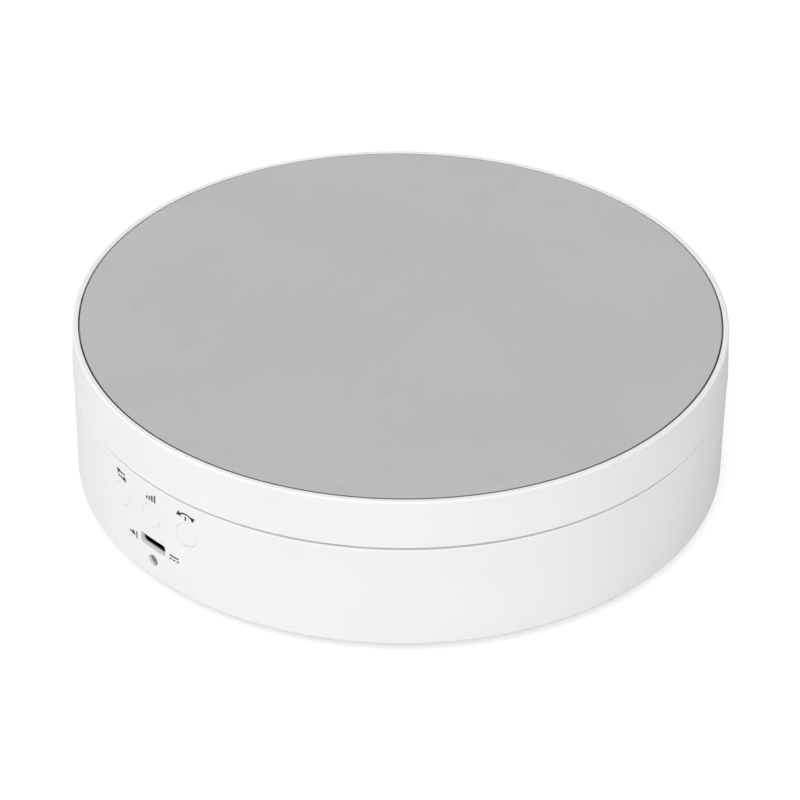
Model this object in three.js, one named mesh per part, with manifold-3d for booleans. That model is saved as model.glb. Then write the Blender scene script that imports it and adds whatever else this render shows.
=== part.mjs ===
// A motorised turntable display stand: a round white base with a powered tray turning on top of it.
//
// Millimetres, +Z up. The origin is on the table, under the centre of the turntable. The controls face -Y.
//
// The tray turns about a post in the middle of the base's deck and runs on four small rollers. A geared motor
// hangs under the deck, and its pinion drives a ring gear under the tray. Three push buttons, a power socket
// and an indicator light sit on one upright circuit board behind the front of the base.

import * as THREE from "three";
import { mergeVertices } from "three/addons/utils/BufferGeometryUtils.js";
import Module from "manifold-3d";

const wasm = await Module();
wasm.setup();

// ---------------------------------------------------------------------------------------------------------
// Driving dimensions
// ---------------------------------------------------------------------------------------------------------

// The whole stand.
const TRAY_RADIUS = 73;
const TOTAL_HEIGHT = 38; // table to display face
const SKIRT_DEPTH = 11.2; // display face to the tray's lower edge
const SEAM_GAP = 0.5; // tray's lower edge to the base
const BASE_INSET = 0.15; // the base's wall stands this far inside the tray's
const RIM_INSET = 0.5; // the tray's wall leans in by this much up to its rim

// Moulded walls.
const TRAY_WALL = 1.75;
const TRAY_FLOOR = 2;
const RIM_FILLET = 0.9;
const BASE_WALL = 2.2;
const DECK = 2.2;
const BASE_FOOT_FILLET = 0.8;
const BASE_TOP_FILLET = 0.5;
const COVER = 2;
const COVER_GAP = 0.3; // round the bottom cover
const LIP_WALL = 1.5; // upstand on the deck, inside the tray's skirt
const LIP_HEIGHT = 2.5;
const LIP_GAP = 0.6;

// Display disc and the adhesive film that holds it in the tray.
const DISC = 1.8;
const DISC_GAP = 0.35;
const ADHESIVE = 0.2;
const ADHESIVE_INSET = 3;

// Fits that several pieces share.
const TURNING_CLEARANCE = 0.08; // radial, between a fixed pin and what turns on it
const STATIC_CLEARANCE = 0.1; // round a piece that drops into a seat
const TOUCH_GAP = 0.3; // between pieces that meet on a curved or turned face

// Centre pivot.
const POST_RADIUS = 4.5;
const BUSH_WALL = 1.9;
const HUB_WALL = 4;
const HUB_POCKET_WALL = 2;
const HUB_OVER_DECK = 0.7;
const WASHER_RADIUS = 7.4;
const WASHER = 0.8;
const END_PLAY = 0.3; // washer to hub

// Rollers under the tray.
const ROLLER_COUNT = 4;
const ROLLER_INSET = 17; // tray's outside to the middle of a roller
const ROLLER_WIDTH = 5;
const ROLLER_CHAMFER = 0.4;
const ROLLER_OVER_DECK = 0.1;
const ROLLER_UNDER_TRACK = 0.05;
const TRACK_HEIGHT = 0.55;
const TRACK_MARGIN = 1; // the track is this much wider than a roller, each side
const AXLE_RADIUS = 1;
const CHEEK = 1.8; // wall that holds one end of an axle
const CHEEK_LENGTH = 7;
const CHEEK_GAP = 0.3;
const CHEEK_OVER_AXLE = 1.6;

// Stiffening ribs between the track and the skirt.
const RIB_COUNT = 12;
const RIB = 1.2;
const RIB_DEPTH = 2;

// Ring gear and pinion.
const MODULE = 1;
const RING_TEETH = 60;
const PINION_TEETH = 12;
const PRESSURE_ANGLE = THREE.MathUtils.degToRad(20);
const PROFILE_SHIFT = 0.3; // in modules, on both gears
const TOOTH_CLEARANCE = 0.25; // in modules, tip to root
const BACKLASH = 0.16;
const RING_TIP_RELIEF = 0.2; // taken off the ring's tooth tips
const RING_RIM = 2.5;
const RING_OVER_DECK = 2.1;
const PINION_OVER_DECK = 1.1;
const PINION_FACE = 5;
const LUG_COUNT = 3;
const LUG = 2;
const LUG_REACH = 4; // ring's outside to the screw
const LUG_RADIUS = 3.8;
const LUG_BOSS_RADIUS = 3.2;

// Geared motor.
const MOTOR_RADIUS = 14;
const MOTOR_OVER_COVER = 1.6;
const MOTOR_EDGE = 1; // round of the can's foot
const MOTOR_PLATE = 0.9;
const MOTOR_EAR_SPAN = 35; // hole to hole
const MOTOR_EAR_WIDTH = 7;
const MOTOR_SHAFT_OFFSET = 8; // can's centre to the shaft
const MOTOR_NOSE_RADIUS = 4.5;
const MOTOR_NOSE = 1.5;
const SHAFT_RADIUS = 2.5;
const SHAFT_FLATS = 3; // across the flats
const SHAFT_OVER_PINION = 0.4;
const TERMINAL_WIDTH = 14.6;
const TERMINAL_DEPTH = 3;
const TERMINAL_MARGIN = 2; // to both ends of the can
const MOTOR_BOSS_RADIUS = 3;
const MOTOR_BOSS_HEIGHT = 2.7;

// Feet and the screws that hold the bottom cover.
const FOOT_COUNT = 4;
const FOOT_RADIUS = 6;
const FOOT_STAND = 1.5; // how far the feet hold the base off the table
const FOOT_SEAT = 0.8;
const FOOT_CHAMFER = 0.5;
const FOOT_INSET = 14.85; // base's outside to a foot's centre
const COVER_SCREW_INSET = 10.7;
const COVER_POST_RADIUS = 3.5;

// Controls, measured from the base's lower edge and from the middle of the front.
const BUTTON_RADIUS = 2.75;
const BUTTON_PITCH = 10.45;
const BUTTON_UNDER_DECK = 5.8; // deck's underside to a button's middle
const BUTTON_PROUD = 0.15;
const BUTTON_FLANGE = 1.1;
const BUTTON_GAP = 0.15;
const SOCKET_ROW = 9.3;
const SOCKET_HOLE_WIDTH = 8;
const SOCKET_HOLE_HEIGHT = 2.75;
const LIGHT_ROW = 4.9;
const LIGHT_RADIUS = 1.3;
const LIGHT_SUNK = 0.4;

// Circuit board and what is soldered on it.
const BOARD_WIDTH = 46;
const BOARD = 1.6;
const BOARD_SETBACK = 8.6; // base's outside to the board's front face
const BOARD_OVER_COVER = 0.7;
const BOARD_UNDER_DECK = 2.4;
const BOARD_SCREW_X = 19;
const BOARD_SCREW_ROW = 10.5;
const BOARD_POST_RADIUS = 2.6;
const SWITCH_SIZE = 6;
const SWITCH_HEIGHT = 3.5;
const PLUNGER_RADIUS = 1.75;
const PLUNGER_REACH = 0.8; // out of the switch
const PLUNGER_ROOT = 1.4; // inside the switch
const PLUNGER_ROOM = 2; // depth of the switch's bore
const PLUNGER_PLAY = 0.05; // to the button's back
const SOCKET_WIDTH = 7.4;
const SOCKET_HEIGHT = 2.45;
const SOCKET_SHEET = 0.3;
const SOCKET_LENGTH = 7;
const SOCKET_CORNER = 0.7;
const TONGUE_WIDTH = 5.4;
const TONGUE = 0.7;
const TONGUE_LENGTH = 3.8;
const SOCKET_BACK = 1.6;
const LAMP_RADIUS = 1.5;
const LAMP_LENGTH = 3.2;
const LAMP_DOME = 1.2;
const LIGHT_COLLAR_RADIUS = 2.1;
const CHIP = { body: 3.9, rise: 1.6, lift: 0.2, leg: 0.45, span: 6 };
const CONTROL_CHIP = { x: -11.5, row: 13, width: 8.6, legs: 7 };
const DRIVER_CHIP = { x: 11.5, row: 13, width: 10, legs: 8 };
const CAPACITOR_X = 11.5;
const CAPACITOR_ROW = 6;
const CAPACITOR_RADIUS = 3.15;
const CAPACITOR_LENGTH = 5.6;
const CAPACITOR_GROOVE = 1.1; // board to the groove rolled round the can
const GROOVE = 0.3; // deep, with sides as long and a floor as wide
const PLUG_WIDTH = 9;
const PLUG_HEIGHT = 3.6;
const PLUG_LENGTH = 4.8;
const PLUG_ROW = 12.5;
const PLUG_SEAT = 2.6; // how deep the plug sits in its header
const PLUG_LATCH = 0.5; // how far the plug's latch stands up
const HEADER_WALL = 0.8;
const HEADER_LENGTH = 3.6;
const WIRE_RADIUS = 0.6;
const WIRE_PITCH = 1.15;
const WIRE_VALLEY = 0.27; // half the ribbon's thickness between two wires
const WIRE_COUNT = 5;

// Self-tapping screws: head radius, head height, shank radius and shank length.
const SHELL_SCREW = { head: 2.6, height: 0.9, shank: 1.15, length: 8 };
const MOTOR_SCREW = { head: 2.8, height: 1.2, shank: 1.15, length: 4.6 };
const GEAR_SCREW = { head: 2.5, height: 0.9, shank: 1.15, length: 4.6 };
const PIVOT_SCREW = { head: 2.8, height: 1.2, shank: 1.15, length: 9 };
const BOARD_SCREW = { head: 1.9, height: 0.9, shank: 0.8, length: 5 };
const PILOT_CLEARANCE = 0.1; // round a shank
const SCREW_SLOT_WIDTH = 0.6;
const SCREW_SLOT_DEPTH = 0.6;
const SCREW_SLOT_REACH = 1.1; // of the head's radius
const SCREW_TIP = 0.4; // of the shank's radius
const SCREW_RIM = 0.6; // of the head's height, where its dome starts
const SCREW_CROWN = 0.7; // of the head's radius, the flat on top

const CUT_OVER = 1; // how far a cutter runs past what it cuts

// Facets round a full circle.
const SHELL_SIDES = 48;
const PART_SIDES = 20;
const SMALL_SIDES = 8;
const ARC_STEPS = 1; // a rounded corner of a profile gets twice this many facets
const FLANK_STEPS = 2;
const LEAD_STEPS = 10;

// ---------------------------------------------------------------------------------------------------------
// Places worked out from the dimensions
// ---------------------------------------------------------------------------------------------------------

const BASE_RADIUS = TRAY_RADIUS - BASE_INSET;
const BASE_BORE = BASE_RADIUS - BASE_WALL;
const TRAY_BORE = TRAY_RADIUS - TRAY_WALL;

const Z = {
  base: FOOT_STAND,
  coverTop: FOOT_STAND + COVER,
  skirt: TOTAL_HEIGHT - SKIRT_DEPTH,
  discUnder: TOTAL_HEIGHT - DISC,
  floorTop: TOTAL_HEIGHT - DISC - ADHESIVE,
};
Z.deckTop = Z.skirt - SEAM_GAP;
Z.deckUnder = Z.deckTop - DECK;
Z.floorUnder = Z.floorTop - TRAY_FLOOR;
Z.track = Z.floorUnder - TRACK_HEIGHT;
Z.ring = Z.deckTop + RING_OVER_DECK;
Z.pinion = Z.deckTop + PINION_OVER_DECK;
Z.buttons = Z.deckUnder - BUTTON_UNDER_DECK;
Z.motorPlate = Z.deckUnder - MOTOR_PLATE;
Z.motorFoot = Z.coverTop + MOTOR_OVER_COVER;
Z.washer = Z.floorTop - PIVOT_SCREW.height - WASHER - 2 * END_PLAY;
Z.hubTop = Z.washer - END_PLAY;
Z.hub = Z.deckTop + HUB_OVER_DECK;

const ROLLER_CIRCLE = TRAY_RADIUS - ROLLER_INSET;
const ROLLER_RADIUS = (Z.track - ROLLER_UNDER_TRACK - Z.deckTop - ROLLER_OVER_DECK) / 2;
Z.axle = Z.deckTop + ROLLER_OVER_DECK + ROLLER_RADIUS;

const BUSH_BORE = POST_RADIUS + TURNING_CLEARANCE;
const BUSH_RADIUS = BUSH_BORE + BUSH_WALL;
const HUB_RADIUS = BUSH_RADIUS + HUB_WALL;

const GEAR_CENTRES = (MODULE * (RING_TEETH - PINION_TEETH)) / 2;
const RING_ROOT = MODULE * (RING_TEETH / 2 + 1 + PROFILE_SHIFT + TOOTH_CLEARANCE);
const RING_TIP = MODULE * (RING_TEETH / 2 - 1 + PROFILE_SHIFT) + RING_TIP_RELIEF;
const RING_RADIUS = RING_ROOT + RING_RIM;
const LUG_CIRCLE = RING_RADIUS + LUG_REACH;
const MOTOR_Y = GEAR_CENTRES - MOTOR_SHAFT_OFFSET;

const BOARD_Y = -(BASE_RADIUS - BOARD_SETBACK);
const BUTTONS = { direction: -BUTTON_PITCH, speed: 0, angle: BUTTON_PITCH };
const FOOT_CIRCLE = BASE_RADIUS - FOOT_INSET;
const COVER_SCREW_CIRCLE = BASE_RADIUS - COVER_SCREW_INSET;

const turn = (share) => share * 2 * Math.PI;

// Angles of count places round the axis, the first at start.
const around = (count, start = 0) => Array.from({ length: count }, (_, i) => start + turn(i / count));

// ---------------------------------------------------------------------------------------------------------
// Materials
// ---------------------------------------------------------------------------------------------------------

const finish = (color, roughness, metalness = 0) =>
  new THREE.MeshStandardMaterial({ color, roughness, metalness });

const MATERIALS = {
  whitePlastic: finish("#f2f2f2", 0.45),
  discGrey: finish("#bcbcbd", 0.6),
  adhesive: finish("#e9e4d4", 0.9),
  acetal: finish("#ece9df", 0.4),
  rubber: finish("#3a3a3c", 0.9),
  steel: finish("#c9cbce", 0.35, 1),
  zincPlate: finish("#b6b9bb", 0.45, 1),
  blackPlastic: finish("#1c1c1e", 0.5),
  bluePlastic: finish("#2d62a8", 0.5),
  boardGreen: finish("#1f6b42", 0.5),
  connectorWhite: finish("#efeee6", 0.5),
  clearPlastic: finish("#d5d8da", 0.15),
  aluminium: finish("#c4c7c9", 0.4, 1),
  wire: finish("#b23b34", 0.6),
};

// ---------------------------------------------------------------------------------------------------------
// Shapes
// ---------------------------------------------------------------------------------------------------------

// A closed geometry as a solid that can be joined and cut.
function solidOf(geometry) {
  const bare = geometry.index ? geometry.toNonIndexed() : geometry.clone();
  bare.deleteAttribute("normal");
  bare.deleteAttribute("uv");
  const merged = mergeVertices(bare, 1e-4);
  const vertProperties = merged.attributes.position.array;
  const triVerts = new Uint32Array(merged.index.array);
  return new wasm.Manifold(new wasm.Mesh({ numProp: 3, vertProperties, triVerts }));
}

function geometryOf(solid) {
  const { vertProperties, triVerts } = solid.getMesh();
  return new THREE.BufferGeometry()
    .setAttribute("position", new THREE.BufferAttribute(vertProperties, 3))
    .setIndex(new THREE.BufferAttribute(triVerts, 1));
}

// body with every piece of added joined on, and every piece of cut taken away.
function shaped(body, { add = [], cut = [] }) {
  const joined = add.reduce((made, piece) => made.add(solidOf(piece)), solidOf(body));
  return geometryOf(cut.reduce((made, piece) => made.subtract(solidOf(piece)), joined));
}

const common = (a, b) => geometryOf(solidOf(a).intersect(solidOf(b)));

// A path through [radius, height] points. A point may carry a third number, a round for that corner.
function profile(points) {
  const path = new THREE.Path();
  const corner = ([x, y]) => new THREE.Vector2(x, y);
  points.forEach((point, i) => {
    const at = corner(point);
    const round = point[2] ?? 0;
    if (!round) {
      i ? path.lineTo(at.x, at.y) : path.moveTo(at.x, at.y);
      return;
    }
    const before = corner(points[i - 1]).sub(at).normalize();
    const after = corner(points[i + 1]).sub(at).normalize();
    const start = at.clone().addScaledVector(before, round);
    const end = at.clone().addScaledVector(after, round);
    const centre = start.clone().addScaledVector(after, round);
    const from = start.clone().sub(centre).angle();
    const to = end.clone().sub(centre).angle();
    path.lineTo(start.x, start.y);
    path.absarc(centre.x, centre.y, round, from, to, before.cross(after) > 0);
  });
  return path;
}

// A solid of revolution about +Z. The profile runs anticlockwise round the material, seen with +Z up.
function revolved(points, sides) {
  const ring = points[0][0] > 0 ? [...points, points[0]] : points;
  return new THREE.LatheGeometry(profile(ring).getPoints(ARC_STEPS), sides).rotateX(Math.PI / 2);
}

// A round bar along +Z, from one height to another.
const bar = (radius, from, to, sides = PART_SIDES) =>
  new THREE.CylinderGeometry(radius, radius, to - from, sides)
    .rotateX(Math.PI / 2)
    .translate(0, 0, (from + to) / 2);

const tube = (bore, radius, from, to, sides = PART_SIDES) =>
  revolved([[bore, from], [radius, from], [radius, to], [bore, to]], sides);

const block = (x, y, z) =>
  new THREE.BoxGeometry(x[1] - x[0], y[1] - y[0], z[1] - z[0])
    .translate((x[0] + x[1]) / 2, (y[0] + y[1]) / 2, (z[0] + z[1]) / 2);

const wide = (size, centre = 0) => [centre - size / 2, centre + size / 2];

const extruded = (shape, depth, curveSegments = 4) =>
  new THREE.ExtrudeGeometry(shape, { depth, bevelEnabled: false, curveSegments });

// Turns a piece made along +Z so that it points out of the front, along -Y, from the height and depth given.
const frontward = (geometry, x, y, z) => geometry.rotateX(Math.PI / 2).translate(x, y, z);

// Moves a piece made on +X to an angle round the axis.
const swung = (geometry, angle) => geometry.rotateZ(angle);

function roundedRectangle(width, height, corner) {
  const [x, y] = [width / 2, height / 2];
  const shape = new THREE.Shape();
  shape.moveTo(-x + corner, -y);
  shape.lineTo(x - corner, -y);
  shape.absarc(x - corner, -y + corner, corner, -Math.PI / 2, 0);
  shape.lineTo(x, y - corner);
  shape.absarc(x - corner, y - corner, corner, 0, Math.PI / 2);
  shape.lineTo(-x + corner, y);
  shape.absarc(-x + corner, y - corner, corner, Math.PI / 2, Math.PI);
  shape.lineTo(-x, -y + corner);
  shape.absarc(-x + corner, -y + corner, corner, Math.PI, 1.5 * Math.PI);
  return shape;
}

// A pan-head screw with a cross slot. Its head stands on z = 0 and its shank hangs below.
function screwShape({ head, height, shank, length }) {
  const tip = shank;
  const body = revolved(
    [
      [0, -length],
      [shank * SCREW_TIP, -length],
      [shank, -length + tip],
      [shank, 0],
      [head, 0],
      [head, height * SCREW_RIM],
      [head * SCREW_CROWN, height],
      [0, height],
    ],
    SMALL_SIDES,
  );
  const slot = wide(SCREW_SLOT_WIDTH);
  const reach = wide(head * SCREW_SLOT_REACH);
  const depth = [height - SCREW_SLOT_DEPTH, height + CUT_OVER];
  return shaped(body, { cut: [block(slot, reach, depth), block(reach, slot, depth)] });
}

// ---------------------------------------------------------------------------------------------------------
// Gear outlines
// ---------------------------------------------------------------------------------------------------------

const involute = (angle) => Math.tan(angle) - angle;

// Half the angle that one tooth takes up at a radius, with the tooth thickened at the pitch line.
function halfTooth(teeth, radius, thicker) {
  const pitch = (MODULE * teeth) / 2;
  const base = pitch * Math.cos(PRESSURE_ANGLE);
  const shifted = Math.PI / 2 + 2 * PROFILE_SHIFT * Math.tan(PRESSURE_ANGLE);
  const atPitch = shifted / teeth + thicker / (2 * pitch);
  return atPitch + involute(PRESSURE_ANGLE) - involute(Math.acos(Math.min(1, base / radius)));
}

// Outline of a gear with one tooth pointing along +Y, from its root radius to its tip radius.
function gearOutline(teeth, root, tip, thicker = 0) {
  const base = (MODULE * teeth * Math.cos(PRESSURE_ANGLE)) / 2;
  const foot = Math.max(base, root);
  const radii = Array.from({ length: FLANK_STEPS + 1 }, (_, i) => foot + ((tip - foot) * i) / FLANK_STEPS);
  const flank = radii.map((radius) => [radius, halfTooth(teeth, radius, thicker)]);
  if (root < base) flank.unshift([root, halfTooth(teeth, base, thicker)]);
  const tooth = [...flank.map(([radius, half]) => [radius, -half]), ...flank.toReversed()];
  const point = (radius, angle) => new THREE.Vector2(radius * Math.cos(angle), radius * Math.sin(angle));
  return around(teeth, Math.PI / 2).flatMap((centre) =>
    tooth.map(([radius, half]) => point(radius, centre + half)));
}

// ---------------------------------------------------------------------------------------------------------
// The tray and what turns with it
// ---------------------------------------------------------------------------------------------------------

function topDisc() {
  const radius = TRAY_BORE - DISC_GAP;
  return bar(radius, Z.discUnder, TOTAL_HEIGHT, SHELL_SIDES);
}

function discAdhesive() {
  return tube(HUB_RADIUS, TRAY_BORE - ADHESIVE_INSET, Z.floorTop, Z.discUnder, SHELL_SIDES);
}

// The tray: hub and pocket in the middle, a track for the rollers, the skirt and the rim round the disc.
function trayShell() {
  const pocket = HUB_RADIUS - HUB_POCKET_WALL;
  const trackHalf = ROLLER_WIDTH / 2 + TRACK_MARGIN;
  const trackOut = ROLLER_CIRCLE + trackHalf;
  const body = revolved(
    [
      [BUSH_RADIUS, Z.hub],
      [HUB_RADIUS, Z.hub],
      [HUB_RADIUS, Z.floorUnder],
      [ROLLER_CIRCLE - trackHalf, Z.floorUnder],
      [ROLLER_CIRCLE - trackHalf, Z.track],
      [trackOut, Z.track],
      [trackOut, Z.floorUnder],
      [TRAY_BORE, Z.floorUnder],
      [TRAY_BORE, Z.skirt],
      [TRAY_RADIUS, Z.skirt],
      [TRAY_RADIUS - RIM_INSET, TOTAL_HEIGHT, RIM_FILLET],
      [TRAY_BORE, TOTAL_HEIGHT],
      [TRAY_BORE, Z.floorTop],
      [pocket, Z.floorTop],
      [pocket, Z.hubTop],
      [BUSH_RADIUS, Z.hubTop],
    ],
    SHELL_SIDES,
  );
  const sunk = TRAY_FLOOR / 2; // how far a boss or rib reaches into the floor that it stands on
  const ribAcross = [trackOut - sunk, TRAY_BORE + TRAY_WALL / 2];
  const ribHeight = [Z.floorUnder - RIB_DEPTH, Z.floorUnder + sunk];
  const ribs = around(RIB_COUNT).map((angle) => swung(block(ribAcross, wide(RIB), ribHeight), angle));
  const bosses = around(LUG_COUNT).map((angle) => {
    const boss = bar(LUG_BOSS_RADIUS, Z.ring + LUG, Z.floorUnder + sunk, SMALL_SIDES);
    return swung(boss.translate(LUG_CIRCLE, 0, 0), angle);
  });
  const pilots = around(LUG_COUNT).map((angle) => {
    const pilot = bar(GEAR_SCREW.shank + PILOT_CLEARANCE, Z.ring, Z.floorUnder, SMALL_SIDES);
    return swung(pilot.translate(LUG_CIRCLE, 0, 0), angle);
  });
  return shaped(body, { add: [...ribs, ...bosses], cut: pilots });
}

function centreBush() {
  const bore = BUSH_BORE / Math.cos(Math.PI / SHELL_SIDES); // so that the flats of the bore clear the post
  return tube(bore, BUSH_RADIUS, Z.hub, Z.hubTop, SHELL_SIDES);
}

function ringGear() {
  const rim = new THREE.Shape().absarc(0, 0, RING_RADIUS, 0, turn(1));
  rim.holes.push(new THREE.Path(gearOutline(RING_TEETH, RING_TIP, RING_ROOT, BACKLASH)));
  const teeth = extruded(rim, Z.floorUnder - Z.ring, SHELL_SIDES / 2).translate(0, 0, Z.ring);
  const height = [Z.ring, Z.ring + LUG];
  const lugs = around(LUG_COUNT).flatMap((angle) => [
    swung(block([RING_ROOT + RING_RIM / 2, LUG_CIRCLE], wide(2 * LUG_RADIUS), height), angle),
    swung(bar(LUG_RADIUS, ...height).translate(LUG_CIRCLE, 0, 0), angle),
  ]);
  const holes = around(LUG_COUNT).map((angle) => {
    const hole = bar(GEAR_SCREW.shank + PILOT_CLEARANCE, Z.ring - LUG, Z.ring + 2 * LUG, SMALL_SIDES);
    return swung(hole.translate(LUG_CIRCLE, 0, 0), angle);
  });
  return shaped(teeth, { add: lugs, cut: holes });
}

function gearScrew(angle) {
  const screw = screwShape(GEAR_SCREW).rotateX(Math.PI).translate(LUG_CIRCLE, 0, Z.ring);
  return swung(screw, angle);
}

// ---------------------------------------------------------------------------------------------------------
// The motor, its shaft and its pinion
// ---------------------------------------------------------------------------------------------------------

const SHAFT_TOP = Z.pinion + PINION_FACE + SHAFT_OVER_PINION;

// A round bar with two flats, loose by play all round.
function flattedBar(from, to, play = 0) {
  const across = wide(SHAFT_FLATS + 2 * play);
  const along = wide(3 * SHAFT_RADIUS);
  return common(bar(SHAFT_RADIUS + play, from, to), block(along, across, [from - CUT_OVER, to + CUT_OVER]));
}

function motorShaft() {
  const round = bar(SHAFT_RADIUS, Z.motorPlate, Z.pinion);
  return shaped(round, { add: [flattedBar(Z.pinion, SHAFT_TOP)] }).translate(0, GEAR_CENTRES, 0);
}

function pinion() {
  const root = MODULE * (PINION_TEETH / 2 - 1 + PROFILE_SHIFT - TOOTH_CLEARANCE);
  const tip = MODULE * (PINION_TEETH / 2 + 1 + PROFILE_SHIFT);
  const outline = new THREE.Shape(gearOutline(PINION_TEETH, root, tip));
  const teeth = extruded(outline, PINION_FACE).translate(0, 0, Z.pinion);
  const bore = flattedBar(Z.pinion - CUT_OVER, SHAFT_TOP, STATIC_CLEARANCE);
  return shaped(teeth, { cut: [bore] }).translate(0, GEAR_CENTRES, 0);
}

function motorCan() {
  return revolved(
    [
      [0, Z.motorFoot],
      [MOTOR_RADIUS, Z.motorFoot, MOTOR_EDGE],
      [MOTOR_RADIUS, Z.motorPlate],
      [0, Z.motorPlate],
    ],
    PART_SIDES,
  ).translate(0, MOTOR_Y, 0);
}

// Steel plate on top of the can, with an ear each side and a nose round the shaft.
function motorPlate() {
  const height = [Z.motorPlate, Z.deckUnder];
  const disc = bar(MOTOR_RADIUS, ...height);
  const ears = [-1, 1].map((side) =>
    bar(MOTOR_EAR_WIDTH / 2, ...height, SMALL_SIDES).translate((side * MOTOR_EAR_SPAN) / 2, 0, 0));
  const arm = block(wide(MOTOR_EAR_SPAN), wide(MOTOR_EAR_WIDTH), height);
  const nose = bar(MOTOR_NOSE_RADIUS, Z.motorPlate, Z.deckUnder + MOTOR_NOSE)
    .translate(0, MOTOR_SHAFT_OFFSET, 0);
  const through = [Z.motorPlate - CUT_OVER, Z.deckUnder + MOTOR_NOSE + CUT_OVER];
  const bore = SHAFT_RADIUS + TURNING_CLEARANCE + STATIC_CLEARANCE;
  const holes = [-1, 1].map((side) =>
    bar(MOTOR_SCREW.shank + 2 * PILOT_CLEARANCE, ...through, SMALL_SIDES)
      .translate((side * MOTOR_EAR_SPAN) / 2, 0, 0));
  const shaftHole = bar(bore, ...through).translate(0, MOTOR_SHAFT_OFFSET, 0);
  const plate = shaped(disc, { add: [...ears, arm, nose], cut: [...holes, shaftHole] });
  return plate.translate(0, MOTOR_Y, 0);
}

// Plastic box on the side of the can, where the leads come out.
const TERMINAL_Y = MOTOR_Y - MOTOR_RADIUS - TERMINAL_DEPTH;

function motorTerminalBox() {
  const box = block(
    wide(TERMINAL_WIDTH),
    [TERMINAL_Y, MOTOR_Y - MOTOR_RADIUS / 2],
    [Z.motorFoot + TERMINAL_MARGIN, Z.motorPlate - TERMINAL_MARGIN],
  );
  const can = bar(MOTOR_RADIUS + TOUCH_GAP, Z.motorFoot, Z.deckUnder).translate(0, MOTOR_Y, 0);
  return shaped(box, { cut: [can] });
}

function motorScrew(side) {
  return screwShape(MOTOR_SCREW)
    .rotateX(Math.PI)
    .translate((side * MOTOR_EAR_SPAN) / 2, MOTOR_Y, Z.motorPlate);
}

// ---------------------------------------------------------------------------------------------------------
// The base
// ---------------------------------------------------------------------------------------------------------

// Two walls on the deck with open slots that an axle drops into, made on +X.
function rollerCheeks() {
  const inner = ROLLER_CIRCLE - ROLLER_WIDTH / 2 - CHEEK_GAP;
  const outer = ROLLER_CIRCLE + ROLLER_WIDTH / 2 + CHEEK_GAP;
  const height = [Z.deckTop - DECK / 2, Z.axle + CHEEK_OVER_AXLE];
  const slot = AXLE_RADIUS + STATIC_CLEARANCE;
  const along = [inner - 2 * CHEEK, outer + 2 * CHEEK];
  const bed = bar(slot, ...along, SMALL_SIDES).rotateY(Math.PI / 2).translate(0, 0, Z.axle);
  const way = block(along, wide(2 * slot), [Z.axle, height[1] + CUT_OVER]);
  const walls = [[inner - CHEEK, inner], [outer, outer + CHEEK]];
  return walls.map((x) => shaped(block(x, wide(CHEEK_LENGTH), height), { cut: [bed, way] }));
}

// Posts that hang from the deck down to the bottom cover, for the cover's screws.
function coverPosts(radius, from, to) {
  return around(FOOT_COUNT, turn(1 / 8)).map((angle) =>
    swung(bar(radius, from, to, SMALL_SIDES).translate(COVER_SCREW_CIRCLE, 0, 0), angle));
}

function boardPosts(radius, from, to) {
  return [-1, 1].map((side) =>
    frontward(bar(radius, from, to, SMALL_SIDES), side * BOARD_SCREW_X, 0, Z.base + BOARD_SCREW_ROW));
}

// Openings through the front wall for the buttons, the socket and the light.
function frontOpenings() {
  const depth = 3 * BASE_WALL;
  const from = -(BASE_RADIUS - 2 * BASE_WALL);
  const buttons = Object.values(BUTTONS).map((x) =>
    frontward(bar(BUTTON_RADIUS + BUTTON_GAP, 0, depth), x, from, Z.buttons));
  const socket = extruded(
    roundedRectangle(SOCKET_HOLE_WIDTH, SOCKET_HOLE_HEIGHT, SOCKET_CORNER),
    depth,
  );
  const light = bar(LIGHT_RADIUS + STATIC_CLEARANCE, 0, depth, SMALL_SIDES);
  return [
    ...buttons,
    frontward(socket, 0, from, Z.base + SOCKET_ROW),
    frontward(light, 0, from, Z.base + LIGHT_ROW),
  ];
}

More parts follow.
